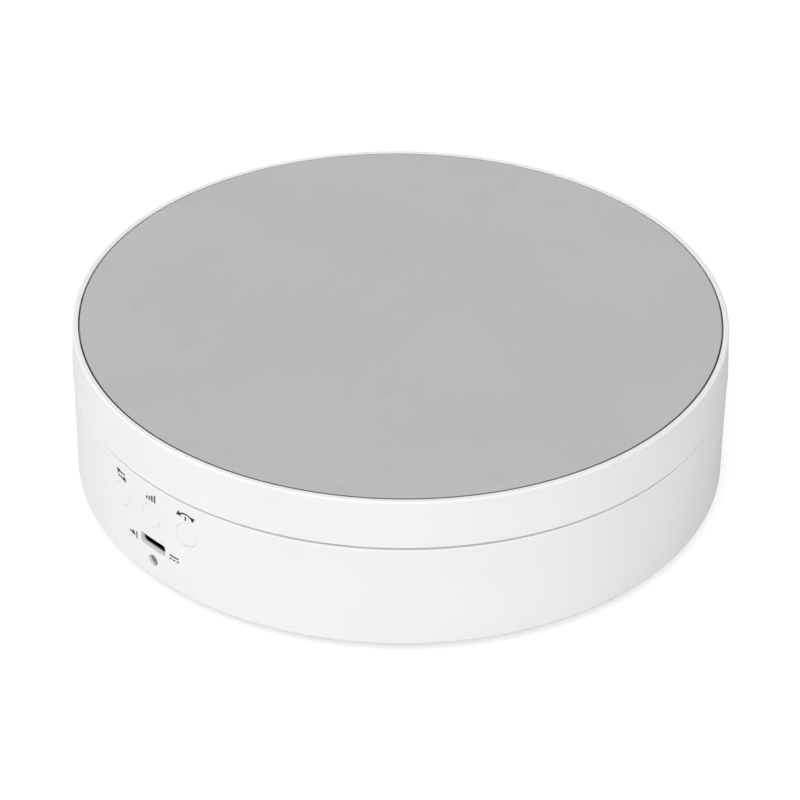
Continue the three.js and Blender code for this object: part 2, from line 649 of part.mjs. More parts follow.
function baseShell() {
  const lip = TRAY_BORE - LIP_GAP;
  const pilot = PIVOT_SCREW.shank + PILOT_CLEARANCE;
  const body = revolved(
    [
      [BASE_BORE, Z.base],
      [BASE_RADIUS, Z.base, BASE_FOOT_FILLET],
      [BASE_RADIUS, Z.deckTop, BASE_TOP_FILLET],
      [lip, Z.deckTop],
      [lip, Z.deckTop + LIP_HEIGHT],
      [lip - LIP_WALL, Z.deckTop + LIP_HEIGHT],
      [lip - LIP_WALL, Z.deckTop],
      [POST_RADIUS, Z.deckTop],
      [POST_RADIUS, Z.washer],
      [pilot, Z.washer],
      [pilot, Z.deckUnder],
      [BASE_BORE, Z.deckUnder],
    ],
    SHELL_SIDES,
  );
  const sunk = DECK / 2;
  const bossTop = Z.deckTop + MOTOR_BOSS_HEIGHT;
  const atEars = (radius, from, to) => [-1, 1].map((side) =>
    bar(radius, from, to, SMALL_SIDES).translate((side * MOTOR_EAR_SPAN) / 2, MOTOR_Y, 0));
  const throughDeck = [Z.deckUnder - CUT_OVER, Z.deckTop + CUT_OVER];
  const noseHole = bar(MOTOR_NOSE_RADIUS + TOUCH_GAP, ...throughDeck).translate(0, GEAR_CENTRES, 0);
  const boardPost = -BOARD_Y;
  const wallAtPost = Math.sqrt(BASE_BORE ** 2 - BOARD_SCREW_X ** 2) + BASE_WALL / 2;
  const screwEnd = boardPost + BOARD_SCREW.length;
  const cheeks = around(ROLLER_COUNT, turn(1 / 8)).flatMap((angle) =>
    rollerCheeks().map((cheek) => swung(cheek, angle)));
  return shaped(body, {
    add: [
      ...cheeks,
      ...coverPosts(COVER_POST_RADIUS, Z.coverTop, Z.deckUnder + sunk),
      ...boardPosts(BOARD_POST_RADIUS, boardPost, wallAtPost),
      ...atEars(MOTOR_BOSS_RADIUS, Z.deckTop - sunk, bossTop),
    ],
    cut: [
      ...coverPosts(SHELL_SCREW.shank + PILOT_CLEARANCE, Z.base, Z.coverTop + SHELL_SCREW.length),
      ...boardPosts(BOARD_SCREW.shank + PILOT_CLEARANCE, boardPost - CUT_OVER, screwEnd - BOARD),
      ...atEars(MOTOR_SCREW.shank + PILOT_CLEARANCE, Z.deckUnder - CUT_OVER, bossTop - sunk),
      noseHole,
      ...frontOpenings(),
    ],
  });
}

const SCREW_SEAT = Z.base + COVER / 2; // the cover's screw heads bear here

function bottomCover() {
  const body = bar(BASE_BORE - COVER_GAP, Z.base, Z.coverTop, SHELL_SIDES);
  const below = Z.base - CUT_OVER;
  const seats = around(FOOT_COUNT).map((angle) => {
    const seat = bar(FOOT_RADIUS + STATIC_CLEARANCE, below, Z.base + FOOT_SEAT);
    return swung(seat.translate(FOOT_CIRCLE, 0, 0), angle);
  });
  return shaped(body, {
    cut: [
      ...seats,
      ...coverPosts(SHELL_SCREW.head + STATIC_CLEARANCE, below, SCREW_SEAT),
      ...coverPosts(SHELL_SCREW.shank + 2 * PILOT_CLEARANCE, below, Z.coverTop + CUT_OVER),
    ],
  });
}

function foot(angle) {
  const top = Z.base + FOOT_SEAT;
  const pad = revolved(
    [[0, 0], [FOOT_RADIUS - FOOT_CHAMFER, 0], [FOOT_RADIUS, FOOT_CHAMFER], [FOOT_RADIUS, top], [0, top]],
    PART_SIDES,
  );
  return swung(pad.translate(FOOT_CIRCLE, 0, 0), angle);
}

function coverScrew(angle) {
  const screw = screwShape(SHELL_SCREW).rotateX(Math.PI).translate(COVER_SCREW_CIRCLE, 0, SCREW_SEAT);
  return swung(screw, angle);
}

function pivotWasher() {
  return tube(PIVOT_SCREW.shank + PILOT_CLEARANCE, WASHER_RADIUS, Z.washer, Z.washer + WASHER);
}

function pivotScrew() {
  return screwShape(PIVOT_SCREW).translate(0, 0, Z.washer + WASHER);
}

function roller(angle) {
  const bore = (AXLE_RADIUS + TURNING_CLEARANCE) / Math.cos(Math.PI / PART_SIDES);
  const [near, far] = wide(ROLLER_WIDTH);
  const [edge, face] = [ROLLER_CHAMFER, ROLLER_RADIUS - ROLLER_CHAMFER];
  const wheel = revolved(
    [
      [bore, near],
      [face, near],
      [ROLLER_RADIUS, near + edge],
      [ROLLER_RADIUS, far - edge],
      [face, far],
      [bore, far],
    ],
    PART_SIDES,
  );
  return swung(wheel.rotateY(Math.PI / 2).translate(ROLLER_CIRCLE, 0, Z.axle), angle);
}

function rollerAxle(angle) {
  const length = ROLLER_WIDTH + 2 * (CHEEK_GAP + CHEEK);
  const pin = bar(AXLE_RADIUS, ...wide(length), SMALL_SIDES);
  return swung(pin.rotateY(Math.PI / 2).translate(ROLLER_CIRCLE, 0, Z.axle), angle);
}

// ---------------------------------------------------------------------------------------------------------
// Buttons and the circuit board
// ---------------------------------------------------------------------------------------------------------

const PLUNGER_TIP = BOARD_Y - SWITCH_HEIGHT - PLUNGER_REACH;

// A round cap that follows the wall's curve, with a flange behind the wall that keeps it in.
function buttonCap(x) {
  const back = -(PLUNGER_TIP - PLUNGER_PLAY);
  const row = Z.buttons;
  const height = [row - 2 * BUTTON_RADIUS, row + 2 * BUTTON_RADIUS];
  const stem = frontward(bar(BUTTON_RADIUS, back, BASE_RADIUS + BASE_WALL), x, 0, row);
  const flange = frontward(bar(BUTTON_RADIUS + BUTTON_FLANGE, back, BASE_RADIUS), x, 0, row);
  const face = bar(BASE_RADIUS + BUTTON_PROUD, ...height, 3 * SHELL_SIDES);
  const inside = bar(BASE_BORE - TOUCH_GAP, ...height, 3 * SHELL_SIDES);
  return shaped(common(stem, face), { add: [common(flange, inside)] });
}

function switchBody(x) {
  const row = Z.buttons;
  const body = block(wide(SWITCH_SIZE, x), [BOARD_Y - SWITCH_HEIGHT, BOARD_Y], wide(SWITCH_SIZE, row));
  const front = SWITCH_HEIGHT - BOARD_Y;
  const bore = bar(PLUNGER_RADIUS + STATIC_CLEARANCE, front - PLUNGER_ROOM, front + CUT_OVER);
  return shaped(body, { cut: [frontward(bore, x, 0, row)] });
}

function switchPlunger(x) {
  const tip = -PLUNGER_TIP;
  const from = tip - PLUNGER_REACH - PLUNGER_ROOT;
  return frontward(bar(PLUNGER_RADIUS, from, tip, SMALL_SIDES), x, 0, Z.buttons);
}

function mainBoard() {
  const body = block(
    wide(BOARD_WIDTH),
    [BOARD_Y, BOARD_Y + BOARD],
    [Z.coverTop + BOARD_OVER_COVER, Z.deckUnder - BOARD_UNDER_DECK],
  );
  const through = [-BOARD_Y - BOARD - CUT_OVER, -BOARD_Y + CUT_OVER];
  return shaped(body, { cut: boardPosts(BOARD_SCREW.shank + PILOT_CLEARANCE, ...through) });
}

function boardScrew(side) {
  return screwShape(BOARD_SCREW).rotateX(-Math.PI / 2)
    .translate(side * BOARD_SCREW_X, BOARD_Y + BOARD, Z.base + BOARD_SCREW_ROW);
}

// The power socket's folded steel shell.
function socketShell() {
  const shape = roundedRectangle(SOCKET_WIDTH, SOCKET_HEIGHT, SOCKET_CORNER);
  const [width, height] = [SOCKET_WIDTH - 2 * SOCKET_SHEET, SOCKET_HEIGHT - 2 * SOCKET_SHEET];
  shape.holes.push(roundedRectangle(width, height, SOCKET_CORNER - SOCKET_SHEET));
  return frontward(extruded(shape, SOCKET_LENGTH), 0, BOARD_Y, Z.base + SOCKET_ROW);
}

// Plastic insert in the socket: a block at the back and the tongue that carries the contacts.
function socketInsert() {
  const play = 2 * (SOCKET_SHEET + STATIC_CLEARANCE);
  const back = extruded(
    roundedRectangle(SOCKET_WIDTH - play, SOCKET_HEIGHT - play, SOCKET_CORNER - SOCKET_SHEET),
    SOCKET_BACK,
  );
  const tongueRun = [SOCKET_BACK / 2, SOCKET_BACK + TONGUE_LENGTH];
  const tongue = block(wide(TONGUE_WIDTH), wide(TONGUE, TONGUE / 2), tongueRun);
  return frontward(shaped(back, { add: [tongue] }), 0, BOARD_Y, Z.base + SOCKET_ROW);
}

function indicatorLamp() {
  const lamp = revolved(
    [[0, 0], [LAMP_RADIUS, 0], [LAMP_RADIUS, LAMP_LENGTH, LAMP_DOME], [0, LAMP_LENGTH]],
    SMALL_SIDES,
  );
  return frontward(lamp, 0, BOARD_Y, Z.base + LIGHT_ROW);
}

// Clear rod that carries the lamp's light through the wall, with a collar behind the wall.
function lightGuide() {
  const back = LAMP_LENGTH - BOARD_Y + TOUCH_GAP;
  const front = BASE_RADIUS - LIGHT_SUNK;
  const collar = [BASE_BORE - TOUCH_GAP - BASE_WALL / 2, BASE_BORE - TOUCH_GAP];
  const rod = revolved(
    [
      [0, back],
      [LIGHT_RADIUS, back],
      [LIGHT_RADIUS, collar[0]],
      [LIGHT_COLLAR_RADIUS, collar[0]],
      [LIGHT_COLLAR_RADIUS, collar[1]],
      [LIGHT_RADIUS, collar[1]],
      [LIGHT_RADIUS, front],
      [0, front],
    ],
    SMALL_SIDES,
  );
  return frontward(rod, 0, 0, Z.base + LIGHT_ROW);
}

// A chip on the back of the board with a row of legs above and below.
function chip({ x, row, width, legs }) {
  const back = BOARD_Y + BOARD;
  const z = Z.base + row;
  const body = block(wide(width, x), [back + CHIP.lift, back + CHIP.lift + CHIP.rise], wide(CHIP.body, z));
  const pitch = (width - 2 * CHIP.leg) / legs;
  const pins = Array.from({ length: legs }, (_, i) => {
    const at = x + (i - (legs - 1) / 2) * pitch;
    return block(wide(CHIP.leg, at), [back, back + CHIP.rise / 2], wide(CHIP.span, z));
  });
  return shaped(body, { add: pins });
}

function smoothingCapacitor() {
  const neck = CAPACITOR_RADIUS - GROOVE;
  const can = revolved(
    [
      [0, 0],
      [CAPACITOR_RADIUS, 0],
      [CAPACITOR_RADIUS, CAPACITOR_GROOVE],
      [neck, CAPACITOR_GROOVE + GROOVE],
      [neck, CAPACITOR_GROOVE + 2 * GROOVE],
      [CAPACITOR_RADIUS, CAPACITOR_GROOVE + 3 * GROOVE],
      [CAPACITOR_RADIUS, CAPACITOR_LENGTH],
      [0, CAPACITOR_LENGTH],
    ],
    PART_SIDES,
  );
  return can.rotateX(-Math.PI / 2).translate(CAPACITOR_X, BOARD_Y + BOARD, Z.base + CAPACITOR_ROW);
}

// Open box on the board that the motor's plug pushes into.
function motorHeader() {
  const back = BOARD_Y + BOARD;
  const z = Z.base + PLUG_ROW;
  const play = 2 * STATIC_CLEARANCE;
  const width = PLUG_WIDTH + play;
  const height = PLUG_HEIGHT + play;
  const body = block(
    wide(width + 2 * HEADER_WALL),
    [back, back + HEADER_LENGTH],
    wide(height + 2 * HEADER_WALL, z),
  );
  const mouth = back + HEADER_LENGTH;
  const pocket = block(wide(width), [mouth - PLUG_SEAT, mouth + CUT_OVER], wide(height, z));
  return shaped(body, { cut: [pocket] });
}

const PLUG_FRONT = BOARD_Y + BOARD + HEADER_LENGTH - PLUG_SEAT + STATIC_CLEARANCE;

function motorPlug() {
  const z = Z.base + PLUG_ROW;
  const end = PLUG_FRONT + PLUG_LENGTH;
  const top = z + PLUG_HEIGHT / 2;
  const body = block(wide(PLUG_WIDTH), [PLUG_FRONT, end], wide(PLUG_HEIGHT, z));
  const latch = block(
    wide(PLUG_WIDTH / 3),
    [PLUG_FRONT + PLUG_SEAT + PLUG_LATCH, end],
    wide(2 * PLUG_LATCH, top),
  );
  return shaped(body, { add: [latch] });
}

// Five insulated wires side by side, from the plug to the motor's terminal box.
function motorLeads() {
  const start = PLUG_FRONT + PLUG_LENGTH + TOUCH_GAP;
  const end = TERMINAL_Y - TOUCH_GAP;
  const along = (share) => start + (end - start) * share;
  const plug = Z.base + PLUG_ROW;
  const box = (Z.motorFoot + Z.motorPlate) / 2;
  const low = Z.coverTop + 4 * WIRE_RADIUS + MOTOR_OVER_COVER;
  const path = new THREE.CatmullRomCurve3(
    // [share of the way to the terminal box, height]
    [
      [0, plug],
      [0.1, plug],
      [0.3, (plug + low) / 2],
      [0.5, low],
      [0.7, (box + low) / 2],
      [0.9, box],
      [1, box],
    ].map(([share, z]) => new THREE.Vector3(0, along(share), z)),
  );
  const half = WIRE_PITCH / 2;
  const wires = Array.from({ length: WIRE_COUNT }, (_, i) => (i - (WIRE_COUNT - 1) / 2) * WIRE_PITCH);
  const edge = wires.flatMap((x) => [[x - half, WIRE_VALLEY], [x, WIRE_RADIUS]]);
  edge.push([(WIRE_COUNT * WIRE_PITCH) / 2, WIRE_VALLEY]);
  const outline = [...edge, ...edge.toReversed().map(([x, y]) => [x, -y])];
  const shape = new THREE.Shape(outline.map(([x, y]) => new THREE.Vector2(y, x)));
  return new THREE.ExtrudeGeometry(shape, { steps: LEAD_STEPS, extrudePath: path });
}

// ---------------------------------------------------------------------------------------------------------
// The assembly
// ---------------------------------------------------------------------------------------------------------

const stand = new THREE.Group();

function place(name, geometry, material) {
  const mesh = new THREE.Mesh(geometry, material);
  mesh.name = name;
  stand.add(mesh);
}

const M = MATERIALS;

place("top_disc", topDisc(), M.discGrey);
place("disc_adhesive", discAdhesive(), M.adhesive);
place("tray_shell", trayShell(), M.whitePlastic);
place("centre_bush", centreBush(), M.acetal);
place("ring_gear", ringGear(), M.acetal);
around(LUG_COUNT).forEach((angle, i) => place(`gear_screw_${i + 1}`, gearScrew(angle), M.steel));

place("pinion", pinion(), M.acetal);
place("motor_shaft", motorShaft(), M.steel);
place("motor_can", motorCan(), M.zincPlate);
place("motor_plate", motorPlate(), M.zincPlate);
place("motor_terminal_box", motorTerminalBox(), M.bluePlastic);
place("motor_leads", motorLeads(), M.wire);
place("motor_screw_left", motorScrew(-1), M.steel);
place("motor_screw_right", motorScrew(1), M.steel);

place("base_shell", baseShell(), M.whitePlastic);
place("bottom_cover", bottomCover(), M.whitePlastic);
place("pivot_washer", pivotWasher(), M.zincPlate);
place("pivot_screw", pivotScrew(), M.steel);
around(FOOT_COUNT).forEach((angle, i) => place(`foot_${i + 1}`, foot(angle), M.rubber));
around(FOOT_COUNT, turn(1 / 8)).forEach((angle, i) =>
  place(`cover_screw_${i + 1}`, coverScrew(angle), M.steel));
around(ROLLER_COUNT, turn(1 / 8)).forEach((angle, i) => {
  place(`roller_${i + 1}`, roller(angle), M.acetal);
  place(`roller_axle_${i + 1}`, rollerAxle(angle), M.steel);
});

for (const [name, x] of Object.entries(BUTTONS)) {
  place(`${name}_button`, buttonCap(x), M.whitePlastic);
  place(`${name}_switch`, switchBody(x), M.blackPlastic);
  place(`${name}_plunger`, switchPlunger(x), M.blackPlastic);
}

place("main_board", mainBoard(), M.boardGreen);
place("board_screw_left", boardScrew(-1), M.steel);
place("board_screw_right", boardScrew(1), M.steel);
place("socket_shell", socketShell(), M.steel);
place("socket_insert", socketInsert(), M.blackPlastic);
place("indicator_lamp", indicatorLamp(), M.clearPlastic);
place("light_guide", lightGuide(), M.clearPlastic);
place("control_chip", chip(CONTROL_CHIP), M.blackPlastic);
place("driver_chip", chip(DRIVER_CHIP), M.blackPlastic);
place("smoothing_capacitor", smoothingCapacitor(), M.aluminium);
place("motor_header", motorHeader(), M.connectorWhite);
place("motor_plug", motorPlug(), M.connectorWhite);

export default stand;
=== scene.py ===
"""The looks of a motorised turntable display stand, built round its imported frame.

Metres, +Z up. The stand's controls face -Y. Each section makes one piece, or one group of like pieces.
"""

import math

import bmesh
import bpy
from mathutils import Matrix, Quaternion, Vector


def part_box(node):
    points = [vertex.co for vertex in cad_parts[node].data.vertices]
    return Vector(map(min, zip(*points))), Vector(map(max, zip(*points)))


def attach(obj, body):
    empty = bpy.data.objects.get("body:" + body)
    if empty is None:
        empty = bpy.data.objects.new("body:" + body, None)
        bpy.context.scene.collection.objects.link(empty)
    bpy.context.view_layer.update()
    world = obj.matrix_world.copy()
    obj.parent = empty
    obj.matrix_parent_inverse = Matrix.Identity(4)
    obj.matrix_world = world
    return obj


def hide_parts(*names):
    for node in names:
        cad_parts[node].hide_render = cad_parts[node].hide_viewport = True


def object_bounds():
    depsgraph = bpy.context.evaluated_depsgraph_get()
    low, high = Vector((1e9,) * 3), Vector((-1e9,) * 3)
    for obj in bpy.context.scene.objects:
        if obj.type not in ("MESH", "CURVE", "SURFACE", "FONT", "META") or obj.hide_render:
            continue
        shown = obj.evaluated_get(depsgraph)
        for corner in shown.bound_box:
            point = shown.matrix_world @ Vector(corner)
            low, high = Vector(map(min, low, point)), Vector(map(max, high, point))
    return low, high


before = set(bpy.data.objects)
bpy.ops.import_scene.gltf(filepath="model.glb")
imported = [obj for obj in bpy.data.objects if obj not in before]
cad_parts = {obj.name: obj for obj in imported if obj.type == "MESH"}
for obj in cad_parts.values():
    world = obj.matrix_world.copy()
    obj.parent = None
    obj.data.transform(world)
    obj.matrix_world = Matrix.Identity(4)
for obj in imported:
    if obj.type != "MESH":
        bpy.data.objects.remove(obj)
cad_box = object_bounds()

# ----------------------------------------------------------------------------------------------------------
# Camera.
# A long lens looks down on the stand from the front right, with the controls at the lower left.

MM = 0.001
display_centre = Vector((0, 0, cad_box[1].z))
camera_azimuth = math.radians(46)
camera_elevation = math.radians(32.28)
camera_distance = 707 * MM
camera_aim = display_centre - Vector((0, 0, 23.55 * MM))
camera_roll = math.radians(0.593)


def heading(azimuth, elevation=0.0):
    """The direction from the stand towards something, its azimuth counted from the front to the right."""
    flat = math.cos(elevation)
    return Vector((math.sin(azimuth) * flat, -math.cos(azimuth) * flat, math.sin(elevation)))


camera = bpy.data.objects.new("camera", bpy.data.cameras.new("camera"))
camera.data.lens = 143.6
camera.data.sensor_width = 36
camera.location = display_centre + heading(camera_azimuth, camera_elevation) * camera_distance
camera.rotation_mode = "QUATERNION"
facing = (camera_aim - camera.location).to_track_quat("-Z", "Y")
camera.rotation_quaternion = facing @ Quaternion((0, 0, 1), camera_roll)
bpy.context.scene.collection.objects.link(camera)
bpy.context.scene.camera = camera
bpy.context.scene.view_settings.view_transform = "Standard"

# ----------------------------------------------------------------------------------------------------------
# Light and table.
# A light tent, white all round, with a grey card behind the stand on the right and a narrow one on the left.
# The cards give the white walls their edges. The table is a pale board with a faint glow of its own, which
# only the camera sees, so that it looks white and doesn't light the stand.

table_reach = 3
table_tone = 0.6
table_glow = 0.58


class Value:
    """A number, colour or vector worked out at each point. Arithmetic on a number adds Math nodes."""

    def __init__(self, nodes, socket):
        self.nodes = nodes
        self.socket = socket

    def math(self, operation, *terms):
        return self.nodes.add("ShaderNodeMath", {"operation": operation}, dict(enumerate(terms)))

    def __add__(self, other):
        return self.math("ADD", self, other)

    def __sub__(self, other):
        return self.math("SUBTRACT", self, other)

    def __rsub__(self, other):
        return self.math("SUBTRACT", other, self)

    def __mul__(self, other):
        return self.math("MULTIPLY", self, other)

    __radd__ = __add__
    __rmul__ = __mul__


class Nodes:
    """The node tree of a material or of the world."""

    def __init__(self, owner):
        owner.use_nodes = True
        self.owner = owner
        self.tree = owner.node_tree

    def add(self, kind, settings=None, inputs=None, output=0):
        """Adds a node with its settings and its sockets' values or links, and gives back one output."""
        node = self.tree.nodes.new(kind)
        for name, setting in (settings or {}).items():
            setattr(node, name, setting)
        for socket, value in (inputs or {}).items():
            self.feed(node.inputs[socket], value)
        return Value(self, node.outputs[output])

    def feed(self, socket, value):
        if isinstance(value, Value):
            self.tree.links.new(value.socket, socket)
        else:
            socket.default_value = value

    def step(self, value, low, high, start=0.0, end=1.0):
        """Goes smoothly from start to end as value goes from low to high."""
        inputs = {"Value": value, "From Min": low, "From Max": high, "To Min": start, "To Max": end}
        return self.add("ShaderNodeMapRange", {"interpolation_type": "SMOOTHSTEP"}, inputs)


def tent_light(world):
    """White light all round, with less of it where a card stands."""
    sky = Nodes(world)
    direction = sky.add("ShaderNodeTexCoord", output="Generated")
    level = sky.add("ShaderNodeVectorMath", {"operation": "MULTIPLY"}, {0: direction, 1: (1, 1, 0)})
    level = sky.add("ShaderNodeVectorMath", {"operation": "NORMALIZE"}, {0: level})
    upward = {0: direction, 1: (0, 0, 1)}
    height = sky.add("ShaderNodeVectorMath", {"operation": "DOT_PRODUCT"}, upward, "Value")

    def card(azimuth, inner, outer, top, depth):
        """How much a card leaves of the light: it is full to its inner half angle and fades to its outer."""
        towards = {0: level, 1: heading(azimuth)}
        share = sky.add("ShaderNodeVectorMath", {"operation": "DOT_PRODUCT"}, towards, "Value")
        across = sky.step(share, math.cos(outer), math.cos(inner))
        up = sky.step(height, math.sin(top * 0.6), math.sin(top), 1.0, 0.0)
        return 1 - across * up * depth

    right = card(camera_azimuth + math.radians(130), math.radians(46), math.radians(56), math.radians(62), 1.0)
    left = card(camera_azimuth - math.radians(158), math.radians(24), math.radians(36), math.radians(55), 0.9)
    side_light, top_light = 1.56, 1.06
    ring = sky.step(height, math.sin(math.radians(25)), math.sin(math.radians(58)), side_light, top_light)
    background = sky.tree.nodes["Background"]
    background.inputs["Color"].default_value = (1.0, 1.0, 1.0, 1.0)
    sky.feed(background.inputs["Strength"], right * left * ring)


stage_world = bpy.data.worlds.new("tent")
bpy.context.scene.world = stage_world
tent_light(stage_world)

table = bmesh.new()
bmesh.ops.create_grid(table, x_segments=1, y_segments=1, size=table_reach)
table_mesh = bpy.data.meshes.new("table")
table.to_mesh(table_mesh)
table.free()
table_board = bpy.data.objects.new("table", table_mesh)
bpy.context.scene.collection.objects.link(table_board)
table_white = Nodes(bpy.data.materials.new("table_white"))
table_shader = table_white.tree.nodes["Principled BSDF"]
table_shader.inputs["Base Color"].default_value = (table_tone, table_tone, table_tone, 1)
table_shader.inputs["Roughness"].default_value = 1.0
table_shader.inputs["Specular IOR Level"].default_value = 0.0
table_shader.inputs["Emission Color"].default_value = (1, 1, 1, 1)
seen = table_white.add("ShaderNodeLightPath", output="Is Camera Ray")
table_white.feed(table_shader.inputs["Emission Strength"], seen * table_glow)
table_mesh.materials.append(table_white.owner)

# ----------------------------------------------------------------------------------------------------------
# Base shell.
# One white ABS moulding: a round wall, and a deck with the pivot post, the roller cheeks and a low lip that
# stands inside the tray's skirt. Its front is drilled for the buttons, the socket and the light.

SMOOTH_TURN = 288  # facets round the stand's large pieces
CREASE = math.radians(24)

base_low, base_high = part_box("base_shell")
tray_low, tray_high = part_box("tray_shell")
cover_low, cover_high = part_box("bottom_cover")
base_radius = base_high.x
base_wall = 2.2 * MM
base_bore = base_radius - base_wall
deck_top = tray_low.z - 0.5 * MM
deck_under = deck_top - 2.2 * MM
shelf = deck_top - 0.1 * MM
deck_middle = (deck_top + deck_under) / 2
lip_outside = tray_high.x - 2.35 * MM
lip_wall = 1.5 * MM
lip_height = 2.5 * MM
post_radius = 4.5 * MM
pilot_radius = 1.25 * MM


def middle(node):
    low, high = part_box(node)
    return (low + high) / 2


def rounded(corners, steps=6, hold=0.25 * MM):
    """A closed outline of (x, y) or (x, y, round) corners. A round corner becomes an arc, and a point beyond
    each end of the arc keeps the flats next to it flat."""
    outline = []
    for i, (x, y, *radius) in enumerate(corners):
        here = Vector((x, y))
        if not radius:
            outline.append(here)
            continue
        before = (Vector(corners[i - 1][:2]) - here).normalized()
        after = (Vector(corners[(i + 1) % len(corners)][:2]) - here).normalized()
        half = before.angle(after) / 2
        reach = radius[0] / math.tan(half)
        centre = here + (before + after).normalized() * (radius[0] / math.sin(half))
        start, end = here + before * reach - centre, here + after * reach - centre
        sweep = start.angle(end)
        outline.append(centre + start + before * hold)
        for step in range(steps + 1):
            share = step / steps
            first, second = math.sin((1 - share) * sweep), math.sin(share * sweep)
            outline.append(centre + (start * first + end * second) / math.sin(sweep))
        outline.append(centre + end + after * hold)
    return outline


def turned(outline, steps=SMOOTH_TURN, closed=True):
    """An outline of (radius, height) points spun about +Z. An open one starts and ends on the axis."""
    shape = bmesh.new()
    corners = [shape.verts.new((radius, 0, height)) for radius, height in outline]
    ends = corners[1:] + corners[:1] if closed else corners[1:]
    edges = [shape.edges.new(pair) for pair in zip(corners, ends)]
    bmesh.ops.spin(shape, geom=corners + edges, cent=(0, 0, 0), axis=(0, 0, 1), angle=math.tau,
                   steps=steps, use_merge=True)
    bmesh.ops.remove_doubles(shape, verts=shape.verts, dist=0.0005 * MM)
    bmesh.ops.recalc_face_normals(shape, faces=shape.faces)
    return shape


def bar(radius, start, end, sides=48, edge=0.0):
    """A closed round bar along +Z, with its rims rounded by edge."""
    if edge:
        corners = [(0, start), (radius, start, edge), (radius, end, edge), (0, end)]
        return turned(rounded(corners, 4, edge / 3), sides, closed=False)
    shape = bmesh.new()
    bmesh.ops.create_cone(shape, cap_ends=True, segments=sides, radius1=radius, radius2=radius,
                          depth=end - start)
    bmesh.ops.translate(shape, verts=shape.verts, vec=(0, 0, (start + end) / 2))
    return shape


def block(low, high, edge=0.0):
    """A closed block between two corners, with its edges rounded by edge."""
    shape = bmesh.new()
    size = Vector(high) - Vector(low)
    centre = (Vector(high) + Vector(low)) / 2
    bmesh.ops.create_cube(shape, size=1, matrix=Matrix.Translation(centre) @ Matrix.Diagonal((*size, 1)))
    if edge:
        bmesh.ops.bevel(shape, geom=shape.edges[:], offset=edge, affect="EDGES", segments=3, profile=0.5,
                        material=-1)
    return shape


def moved(shape, matrix):
    bmesh.ops.transform(shape, matrix=matrix, verts=shape.verts)
    return shape


def shift(x=0.0, y=0.0, z=0.0):
    return Matrix.Translation((x, y, z))


def about(azimuth):
    """Turns a thing made on +X to stand at that angle round the axis."""
    return Matrix.Rotation(azimuth, 4, "Z")


def frontward(x, z):
    """Lays a thing made along +Z so that it points out of the front, along -Y."""
    return shift(x, 0, z) @ Matrix.Rotation(math.pi / 2, 4, "X")


def joined(*shapes):
    """Several closed shapes as the shells of one."""
    whole = bmesh.new()
    for shape in shapes:
        part = bpy.data.meshes.new("part")
        shape.to_mesh(part)
        shape.free()
        whole.from_mesh(part)
        bpy.data.meshes.remove(part)
    return whole


def piece(name, shape):
    """Makes a shape an object in its place, smooth but for edges sharper than the crease."""
    mesh = bpy.data.meshes.new(name)
    shape.to_mesh(mesh)
    shape.free()
    mesh.shade_smooth()
    mesh.set_sharp_from_angle(angle=CREASE)
    made = bpy.data.objects.new(name, mesh)
    bpy.context.scene.collection.objects.link(made)
    return made


def fitted(name, shape, finish, body, slot, *nodes):
    """Makes a shape the finished piece that stands for some nodes of the frame and rides on one body."""
    made = piece(name, shape)
    made.data.materials.append(finish.owner)
    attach(made, body)
    if nodes:
        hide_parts(*nodes)
    return made


def drilled(shape, *cutters):
    """A shape with the cutters' space taken out of it."""
    body = piece("body", shape)
    tools = [piece("tool", cutter) for cutter in cutters]
    for tool in tools:
        cut = body.modifiers.new("cut", "BOOLEAN")
        cut.operation = "DIFFERENCE"
        cut.solver = "EXACT"
        cut.object = tool
    result = bmesh.new()
    result.from_object(body, bpy.context.evaluated_depsgraph_get())
    for used in (body, *tools):
        used_mesh = used.data
        bpy.data.objects.remove(used)
        bpy.data.meshes.remove(used_mesh)
    return result


def softened(shape, chosen, width):
    """Rounds the edges that chosen picks."""
    edges = [e for e in shape.edges if chosen(e)]
    bmesh.ops.bevel(shape, geom=edges, offset=width, affect="EDGES", segments=3, profile=0.5, material=-1,
                    clamp_overlap=False)
    return shape


def oblong_outline(half_width, half_height, corner):
    """A rounded oblong round the origin, as (x, y) points."""
    signs = ((-1, -1), (1, -1), (1, 1), (-1, 1))
    return rounded([(sx * half_width, sy * half_height, corner) for sx, sy in signs], 6, 0.1 * MM)


def oblong(width, height, corner, start, end):
    """A closed bar of rounded oblong section along +Z."""
    shape = bmesh.new()
    ring = [shape.verts.new((x, y, start)) for x, y in oblong_outline(width / 2, height / 2, corner)]
    top = bmesh.ops.extrude_face_region(shape, geom=[shape.faces.new(ring)])
    lifted = [v for v in top["geom"] if isinstance(v, bmesh.types.BMVert)]
    bmesh.ops.translate(shape, verts=lifted, vec=(0, 0, end - start))
    bmesh.ops.recalc_face_normals(shape, faces=shape.faces)
    return shape


button_nodes = ("direction_button", "speed_button", "angle_button")
button_radius = 2.75 * MM
button_gap = 0.05 * MM
socket_middle = middle("socket_shell")
guide_middle = middle("light_guide")
roller_middle = middle("roller_1")
roller_circle = roller_middle.xy.length
quarters = [math.tau * (i + 0.5) / 4 for i in range(4)]
motor_ears = [middle("motor_screw_left"), middle("motor_screw_right")]
slot_width, slot_height, slot_corner = 8 * MM, 2.75 * MM, 0.7 * MM  # the socket's opening
guide_hole_radius = 1.4 * MM
motor_nose_radius = 4.8 * MM
ring_pitch = MM


